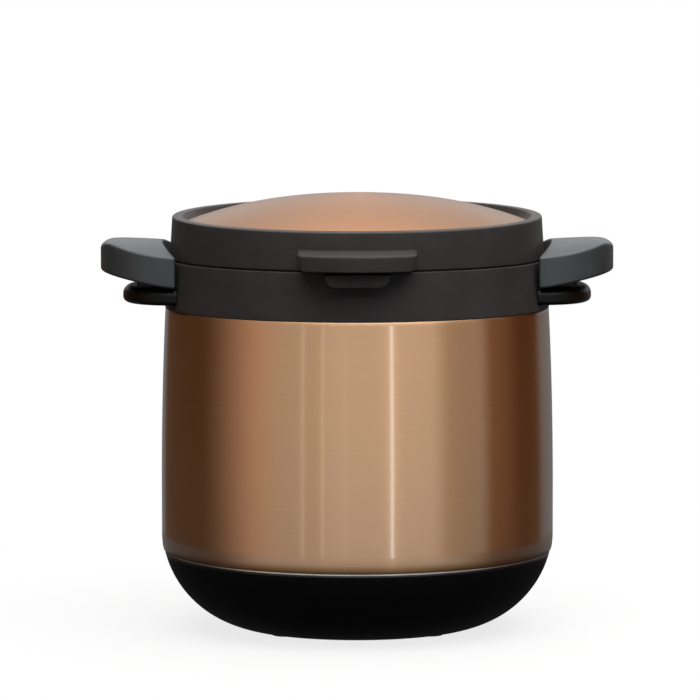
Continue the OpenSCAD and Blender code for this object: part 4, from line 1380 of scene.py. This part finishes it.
    def dome(self) -> Points:
        """Section of the dome from the axis out, over its edge and back in.

        Returns:
            Points of radius and height.
        """
        eye, start = self.dome_eye
        r = np.concatenate([[eye], np.linspace(start, self.dome_r, 64)])
        top = np.stack([r, self.dome_z(r)], -1)
        under = top[::-1] - np.array([0, self.sheet])
        inset, bulge = self.dome_edge
        edge = arc((self.dome_r - inset, self.dome_edge_z - self.sheet / 2),
                   (bulge, self.sheet / 2), 60, -60, steps=4)
        return np.concatenate([top[:-1], edge, under[1:]])

    def liner(self) -> Points:
        """Section of the liner pan from the axis out, up and back in."""
        corner = (self.liner_r - self.liner_corner, self.liner_z + self.liner_corner)
        return np.concatenate([
            [[EYE_R, self.liner_z]], arc(corner, self.liner_corner, -90, 0, steps=14),
            [[self.liner_r, self.liner_top_z], [self.liner_r - self.liner_wall, self.liner_top_z]],
            arc(corner, self.liner_corner - self.liner_wall, 0, -90, steps=8),
            [[EYE_R, self.liner_z + self.liner_wall]],
        ])

    def build(self) -> None:
        """Makes the rim with its tab and arm, the dome, the liner pan and the seal."""
        rim = self.raised(lathe(denser(self.rim(), longest=2.5), steps=256))
        piece("lid_frame", [skin(rim, closed=True), skin(self.tab()), *self.arm()], DARK, Body.LID)
        piece("lid_dome", [skin(lathe(self.dome(), steps=320))], DOME_COPPER_SHADED, Body.LID)
        holes = bores(around(self.screw_circle_r, self.screw_turns), self.screw_bore[0],
                      self.liner_z, self.screw_bore[1])
        piece("lid_liner", [turned(self.liner(), longest=4.0)], LINER, Body.LID, holes)
        (near, far), (low, high) = self.seal_r, self.seal_z
        seal = box((near, low), (far, high), self.seal_round)
        piece("lid_seal", [turned(seal, longest=1.2, ring=True)], SILICONE, Body.LID)


@dataclass
class Pot:
    """The lift-out cooking pot: its body, base disc and two handles."""

    r: float = 105.3
    low_z: float = 30.0
    rim_z: float = 202.6
    rim_r: float = 108.5
    rim_gap: float = 0.4
    mouth_in: float = 0.2
    mouth_round: float = 1.0
    corner: float = 22.0
    sheet: float = 0.8
    disc_r: float = 80.0
    disc_z: Pair = (24.9, 29.9)
    disc_rounds: Pair = (1.2, 0.4)
    loop_turn: float = 34.0
    arm_turn: float = 5.0
    strap_t: float = 2.0
    strap_rounds: tuple[float, ...] = (0.4, 0.4, 0.5, 1.2, 0.4, 0.4, 0.5, 1.2)
    strap_end: float = 0.3
    pad_r: float = 105.4
    strap_r: float = 109.1
    pad_low_z: float = 166.6
    bend_z: float = 192.6
    arm_top_z: float = 223.6
    gap_past: float = 4.0
    gap_low: float = 1.0
    gap_round: float = 0.5
    gap_end: float = 0.1
    grip_r: Pair = (105.7, 112.3)
    grip_z: Pair = (218.6, 228.6)
    grip_round: float = 2.4
    grip_end: float = 2.2

    def body(self) -> Points:
        """Section of the pot from the axis out, up, over the bead and back in.

        Returns:
            Points of radius and height.
        """
        centre = (self.r - self.corner, self.low_z + self.corner)
        bead, lip = (self.rim_r - self.r) / 2, self.mouth_round
        return np.concatenate([
            [[EYE_R, self.low_z]], arc(centre, self.corner, -90, 0),
            [[self.r, self.rim_z - 2 * bead - self.rim_gap]],
            arc((self.rim_r - bead, self.rim_z - bead), bead, -90, 90, steps=14),
            arc((self.r + self.mouth_in, self.rim_z - lip), lip, 90, 180, steps=6),
            arc(centre, self.corner - self.sheet, 0, -90), [[EYE_R, self.low_z + self.sheet]],
        ])

    def disc(self) -> Points:
        """Section of the base disc from the axis out, up and back in."""
        (low, high), (under, over) = self.disc_z, self.disc_rounds
        return np.concatenate([
            [[EYE_R, low]], arc((self.disc_r - under, low + under), under, -90, 0, steps=6),
            arc((self.disc_r - over, high - over), over, 0, 90, steps=4), [[EYE_R, high]],
        ])

    def build(self) -> None:
        """Makes the pot, its disc, and a strap and a grip at each side."""
        piece("cooking_pot", [turned(self.body(), longest=5.0)], BRIGHT_STEEL, Body.POT)
        piece("pot_base_disc", [turned(self.disc(), longest=4.0)], DISC_METAL, Body.POT)
        out, pad_out = self.strap_r + self.strap_t, self.pad_r + self.strap_t
        bend_top, past = self.bend_z + self.strap_t, self.gap_past
        strap = rounded([
            (self.pad_r, self.pad_low_z), (pad_out, self.pad_low_z), (pad_out, self.bend_z),
            (out, self.bend_z), (out, self.arm_top_z), (self.strap_r, self.arm_top_z),
            (self.strap_r, bend_top), (self.pad_r, bend_top),
        ], self.strap_rounds, steps=6)
        gap = box((self.pad_r - past, self.bend_z - self.gap_low),
                  (out + past, self.arm_top_z + past), self.gap_round)
        (near, far), (low, high) = self.grip_r, self.grip_z
        hold = box((near, low), (far, high), self.grip_round, steps=10)
        half, room = self.loop_turn / 2, self.loop_turn / 2 - self.arm_turn
        held = half + self.arm_turn / 4
        for side, turn in ((Side.RIGHT, 0), (Side.LEFT, 180)):
            label = side.name.lower()
            band = swept(denser(strap, longest=3.0), turn - half, turn + half, self.strap_end)
            middle = swept(denser(gap, longest=3.0), turn - room, turn + room, self.gap_end)
            piece(f"pot_strap_{label}", [skin(band)], STRAP_STEEL, Body.POT, [skin(middle)])
            bar = swept(denser(hold, longest=1.0), turn - held, turn + held, self.grip_end,
                        steps=60)
            piece(f"pot_grip_{label}", [skin(bar)], HEATPROOF, Body.POT)


@dataclass
class PotCover:
    """The cooking pot's own lid and its knob."""

    hole_r: float = 2.15
    skirt_r: float = 103.5
    rim_r: float = 108.5
    rim_round: float = 0.4
    low_z: float = 202.7
    apex_z: float = 213.5
    rise: float = 10.0
    bend: Pair = (1.2, 1.0)
    sheet: float = 0.8
    skirt_h: float = 5.0
    knob_z: float = 214.7
    knob_h: float = 15.0
    knob_r: float = 19.0
    knob_foot_r: float = 9.0
    knob_neck: Pair = (7.2, 5.6)
    knob_brim_h: float = 7.2
    knob_fall: float = 1.8
    knob_eye_r: float = 0.4
    knob_rounds: tuple[float, ...] = (0.1, 0.8, 3.0, 2.4, 2.6, 20.0, 0.1)

    def top(self, r: Points) -> Points:
        """Height of the lid at a radius: a cap of a sphere."""
        ball = (self.skirt_r**2 + self.rise**2) / (2 * self.rise)
        return self.apex_z - ball + np.sqrt(ball**2 - np.square(r))

    def plate(self) -> Points:
        """Section of the lid: over its top to the brim, round it, down the skirt and back under.

        Returns:
            Points of radius and height, all round.
        """
        out, back = self.bend
        r = np.linspace(self.hole_r, self.skirt_r - out, 56)
        inner = np.linspace(self.skirt_r - self.sheet - back, self.hole_r, 56)
        edge, foot_z = self.rim_round, self.low_z - self.skirt_h
        return np.concatenate([
            np.stack([r, self.top(r)], -1), [[self.skirt_r + back, self.low_z + self.sheet]],
            arc((self.rim_r - edge, self.low_z + edge), edge, 90, -90, steps=8),
            [[self.skirt_r + edge, self.low_z], [self.skirt_r, self.low_z - edge],
             [self.skirt_r, foot_z], [self.skirt_r - self.sheet, foot_z]],
            np.stack([inner, self.top(inner) - self.sheet], -1),
        ])

    def knob(self) -> Points:
        """Section of the knob from its foot up round the brim to the axis.

        Returns:
            Points of radius and height.
        """
        steps, eye = 12, self.knob_eye_r
        base, top = self.knob_z, self.knob_z + self.knob_h
        neck_r, neck_h = self.knob_neck
        whole = rounded([
            (eye, base), (self.knob_foot_r, base), (neck_r, base + neck_h),
            (self.knob_r, base + self.knob_brim_h), (self.knob_r, top - self.knob_fall),
            (self.knob_foot_r, top), (eye, top),
        ], self.knob_rounds, steps)
        return whole[steps + 1:]

    def build(self) -> None:
        """Makes the lid and the knob."""
        plate = turned(self.plate(), longest=4.0, ring=True)
        piece("pot_lid", [plate], BRIGHT_STEEL, Body.POT_COVER)
        knob = turned(self.knob(), longest=1.0, steps=128)
        piece("pot_lid_knob", [knob], HEATPROOF, Body.POT_COVER)


@dataclass
class Hardware:
    """The solids that keep their shape, by their finishes."""

    finishes: dict[Finish, tuple[str, ...]]

    def dress(self) -> None:
        """Puts each finish on its solids."""
        for finish, nodes in self.finishes.items():
            for node in nodes:
                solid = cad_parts[node]
                for slot in solid.material_slots:
                    slot.material = finish.material()
                LOG.info("%s: solid, %s", node, finish.name)


HARDWARE = Hardware({
    ZINC: ("base_screws", "weld_nuts", "getter", "bracket_screws", "grip_screws",
           "hinge_screws", "pin_clip", "liner_screws", "knob_screw"),
    STRAP_STEEL: ("steel_bottom", "vacuum_seal", "hinge_pin", "pot_rivets"),
    FOIL: ("foil_wrap",), FOAM: ("lid_foam",), SILICONE: ("knob_washer",),
})


# Studio, in metres and degrees

LINE_HEIGHTS = (-0.4, 0.5, 0.15)
CARD_HEIGHTS = (-2.0, 1.7, 0.5)
WHITE = (1.0, 1.0, 1.0, 1.0)


@dataclass
class Card:
    """A card round the object that only polished surfaces see, dark or bright, with soft edges.

    It has a span of bearings from the front, a soft stretch at both ends, its lowest and highest
    points with the soft stretch there, and a colour.
    """

    name: str
    span: Pair
    soft: Pair
    colour: Colour
    heights: Triple = CARD_HEIGHTS


@dataclass
class Lamp:
    """A soft rectangular lamp: where it hangs, the point it faces, its size and its power."""

    name: str
    place: Triple
    aim: Triple
    size: Pair
    power: float
    polished: bool = True


@dataclass
class Studio:
    """Camera, pale floor, white room, cards for the polished surfaces and soft lamps."""

    camera_place: Triple = (-0.0043, -2.95, 0.458)
    camera_pitch: float = 5.36
    camera_roll: float = 0.08
    lens: float = 232.5
    sensor: float = 36.0
    clip: Pair = (0.05, 60.0)
    floor_r: float = 0.5
    floor_eye_r: float = 0.0005
    floor_steps: int = 96
    floor_fade: Pair = (0.12, 0.45)
    floor_white: Pair = (0.8, 1.0)
    floor_dark: Colour = (0.03, 0.03, 0.03)
    floor_pale: Colour = (0.86, 0.86, 0.86)
    room_light: float = 0.03
    card_r: float = 1.6
    card_gap: float = 0.02
    card_grid: tuple[int, int] = (20, 60)
    floor_card_z: float = 0.0004
    floor_card_fade: Pair = (0.22, 0.34)
    floor_card_thin: Pair = (0.62, 0.1)
    floor_card_turn: Pair = (40.0, 76.0)
    floor_card_colour: Colour = (0.02, 0.02, 0.02)
    cards: tuple[Card, ...] = (
        Card("line_right", (18.1, 20.5), (0.8, 0.8), (3.0, 3.4, 3.6), LINE_HEIGHTS),
        Card("line_left", (-32.0, -29.4), (0.9, 0.9), (1.1, 1.08, 1.0), LINE_HEIGHTS),
        Card("line_middle", (-20.7, -18.1), (0.9, 0.9), (1.15, 1.12, 1.0), LINE_HEIGHTS),
        Card("line_centre", (-8.0, -5.4), (0.9, 0.9), (0.9, 0.88, 0.85), LINE_HEIGHTS),
        Card("card_right", (88, 138), (24, 10), (0.11, 0.05, 0.024)),
        Card("card_left", (-156, -40), (8, 62), (0.095, 0.052, 0.03)),
        Card("card_glow", (-118, -36), (30, 32), (0.85, 0.61, 0.5)),
        Card("card_front", (-24, 54), (12, 12), (0.74, 0.74, 0.75)),
        Card("card_front_left", (-80, -8), (25, 8), (0.60, 0.58, 0.56)),
        Card("card_front_right", (38, 85), (8, 18), (0.46, 0.41, 0.36)),
        Card("card_back", (122, 238), (12, 12), (0.17, 0.17, 0.175), (-2.0, 0.9, 0.8)),
        Card("card_warm", (62, 134), (22, 12), (0.24, 0.13, 0.08)),
    )
    lamps: tuple[Lamp, ...] = (
        Lamp("key", (0.26, -0.9, 1.65), (0, 0, 0.2), (2.3, 2.0), 25.0),
        Lamp("ceiling", (0.25, -0.1, 1.75), (0.25, -0.1001, 0), (2.7, 2.2), 33.0),
        Lamp("fill", (0.1, 1.5, 0.8), (0, 0, 0.17), (1.6, 1.1), 14.0, polished=False),
    )

    def camera(self) -> None:
        """Sets the camera up in front, a little above the object and looking slightly down."""
        data = bpy.data.cameras.new("camera")
        data.lens, data.sensor_width = self.lens, self.sensor
        data.clip_start, data.clip_end = self.clip
        made = bpy.data.objects.new("camera", data)
        made.location = self.camera_place
        made.rotation_euler = np.radians((90 - self.camera_pitch, self.camera_roll, 0))
        bpy.context.scene.collection.objects.link(made)
        bpy.context.scene.camera = made

    def stand(self, mesh: Mesh) -> bpy.types.Object:
        """Puts a mesh in the scene as part of the stage.

        Args:
            mesh: the mesh.

        Returns:
            Its object.
        """
        made = bpy.data.objects.new(mesh.name, mesh)
        bpy.context.scene.collection.objects.link(made)
        return made

    def disc(self, z: float, rows: int) -> tuple[Points, Points]:
        """A round grid of some rings at a height: the rings' radii and the points."""
        r = np.linspace(self.floor_eye_r, self.floor_r, rows)
        return r, lathe(np.stack([r, np.full(rows, z)], -1), self.floor_steps)

    def floor(self) -> None:
        """Lays a round pale floor that fades to the white of the room and keeps the shadow."""
        mesh = panel("floor", self.disc(0.0, rows=24)[1], closed=True)
        material, sheet = new_material("pale_floor")
        away = sheet.add("VectorMath", {0: sheet.place()}, operation="LENGTH").outputs["Value"]
        fade = sheet.span(away, *self.floor_white, *self.floor_fade, soft=True)
        look = sheet.seen()
        pale = sheet.tint(look, self.floor_dark, self.floor_pale)
        paper = sheet.add("BsdfDiffuse", {"Color": pale}).outputs[0]
        white = sheet.add("Emission", {"Color": WHITE, "Strength": 1.0}).outputs[0]
        share = sheet.math("MULTIPLY", fade, look)
        sheet.end(sheet.add("MixShader", {0: share, 1: paper, 2: white}).outputs[0])
        mesh.materials.append(material)
        self.stand(mesh)

    def room(self) -> None:
        """Makes the room: white to the camera and to polished surfaces, and a soft light."""
        world = bpy.data.worlds.new("room")
        bpy.context.scene.world = world
        world.use_nodes = True
        sheet = Sheet(world.node_tree)
        soft, white = (sheet.add("Background", {"Color": WHITE, "Strength": light}).outputs[0]
                       for light in (self.room_light, 1.0))
        mixed = sheet.add("MixShader", {0: sheet.seen(), 1: soft, 2: white})
        sheet.add("OutputWorld", {"Surface": mixed.outputs[0]})

    def card(self, card: Card, away: float) -> None:
        """Hangs a card: a piece of a cylinder round the object, clear toward its edges.

        Args:
            card: the card.
            away: its distance from the axis.
        """
        (start, stop), (low, high, fade) = card.span, card.heights
        rows, columns = self.card_grid
        a, z = np.linspace(start, stop, columns), np.linspace(low, high, rows)
        turn, up = np.meshgrid(np.radians(a), z)
        grid = np.stack([away * np.sin(turn), -away * np.cos(turn), up], -1)
        across = np.minimum((a - start) / card.soft[0], (stop - a) / card.soft[1])
        upward = np.minimum(high - z, z - low) / fade
        self.hang(panel(card.name, grid), np.outer(eased(upward), eased(across)), card.colour)

    def floor_card(self) -> None:
        """Lays a round card on the floor that keeps the floor's white out of the black base.

        Away from the base it lets a share of the white through, and more of it in front.
        """
        r, grid = self.disc(self.floor_card_z, rows=48)
        bearing = np.degrees(np.abs(np.arctan2(grid[..., 0], -grid[..., 1])))
        front, back = self.floor_card_thin
        start, stop = self.floor_card_turn
        thin = back + (front - back) * eased((stop - bearing) / (stop - start))
        near, far = self.floor_card_fade
        cover = 1 - thin * eased((r - near) / (far - near))[:, None]
        self.hang(panel("card_floor", grid, closed=True), cover, self.floor_card_colour)

    def hang(self, mesh: Mesh, cover: Points, colour: Colour) -> None:
        """Puts a card's mesh in the scene, for polished surfaces only.

        Args:
            mesh: the card's mesh.
            cover: how much of the view behind it the card hides, for each of its points.
            colour: the card's colour.
        """
        layer = mesh.attributes.new("cover", "FLOAT", "POINT")
        layer.data.foreach_set("value", cover.astype(np.float32).ravel())
        material, sheet = new_material(mesh.name)
        glow = sheet.add("Emission", {"Color": (*colour, 1), "Strength": 1.0}).outputs[0]
        clear = sheet.add("BsdfTransparent").outputs[0]
        share = sheet.add("Attribute", attribute_name="cover").outputs["Fac"]
        sheet.end(sheet.add("MixShader", {0: share, 1: clear, 2: glow}).outputs[0])
        mesh.materials.append(material)
        made = self.stand(mesh)
        made.visible_camera = made.visible_diffuse = made.visible_shadow = False
        made.visible_transmission = made.visible_volume_scatter = False

    def light(self, lamp: Lamp) -> None:
        """Hangs a lamp.

        Args:
            lamp: the lamp.
        """
        data = bpy.data.lights.new(lamp.name, "AREA")
        data.shape, data.size, data.size_y = "RECTANGLE", *lamp.size
        data.energy = lamp.power
        made = bpy.data.objects.new(lamp.name, data)
        made.location = lamp.place
        x, y, z = np.subtract(lamp.aim, lamp.place)
        tilt = math.atan2(z, math.hypot(x, y))
        made.rotation_euler = (math.pi / 2 + tilt, 0, math.atan2(y, x) - math.pi / 2)
        made.visible_camera, made.visible_glossy = False, lamp.polished
        bpy.context.scene.collection.objects.link(made)

    def build(self) -> None:
        """Builds the whole studio."""
        self.camera()
        self.floor()
        self.room()
        for index, card in enumerate(self.cards):
            self.card(card, self.card_r + self.card_gap * index)
        self.floor_card()
        for lamp in self.lamps:
            self.light(lamp)
        bpy.context.scene.view_settings.view_transform = "Standard"


def main() -> None:
    """Builds the studio and the cooker."""
    logging.basicConfig(level=logging.INFO, format="%(message)s")
    Studio().build()
    hinge = Hinge()
    lid = Lid(hinge)
    for part in (Base(), Shell(), Shoulder(), Handles(), hinge, lid, Pot(), PotCover()):
        part.build()
    HARDWARE.dress()
    bpy.context.view_layer.update()


if __name__ == "__main__":
    main()
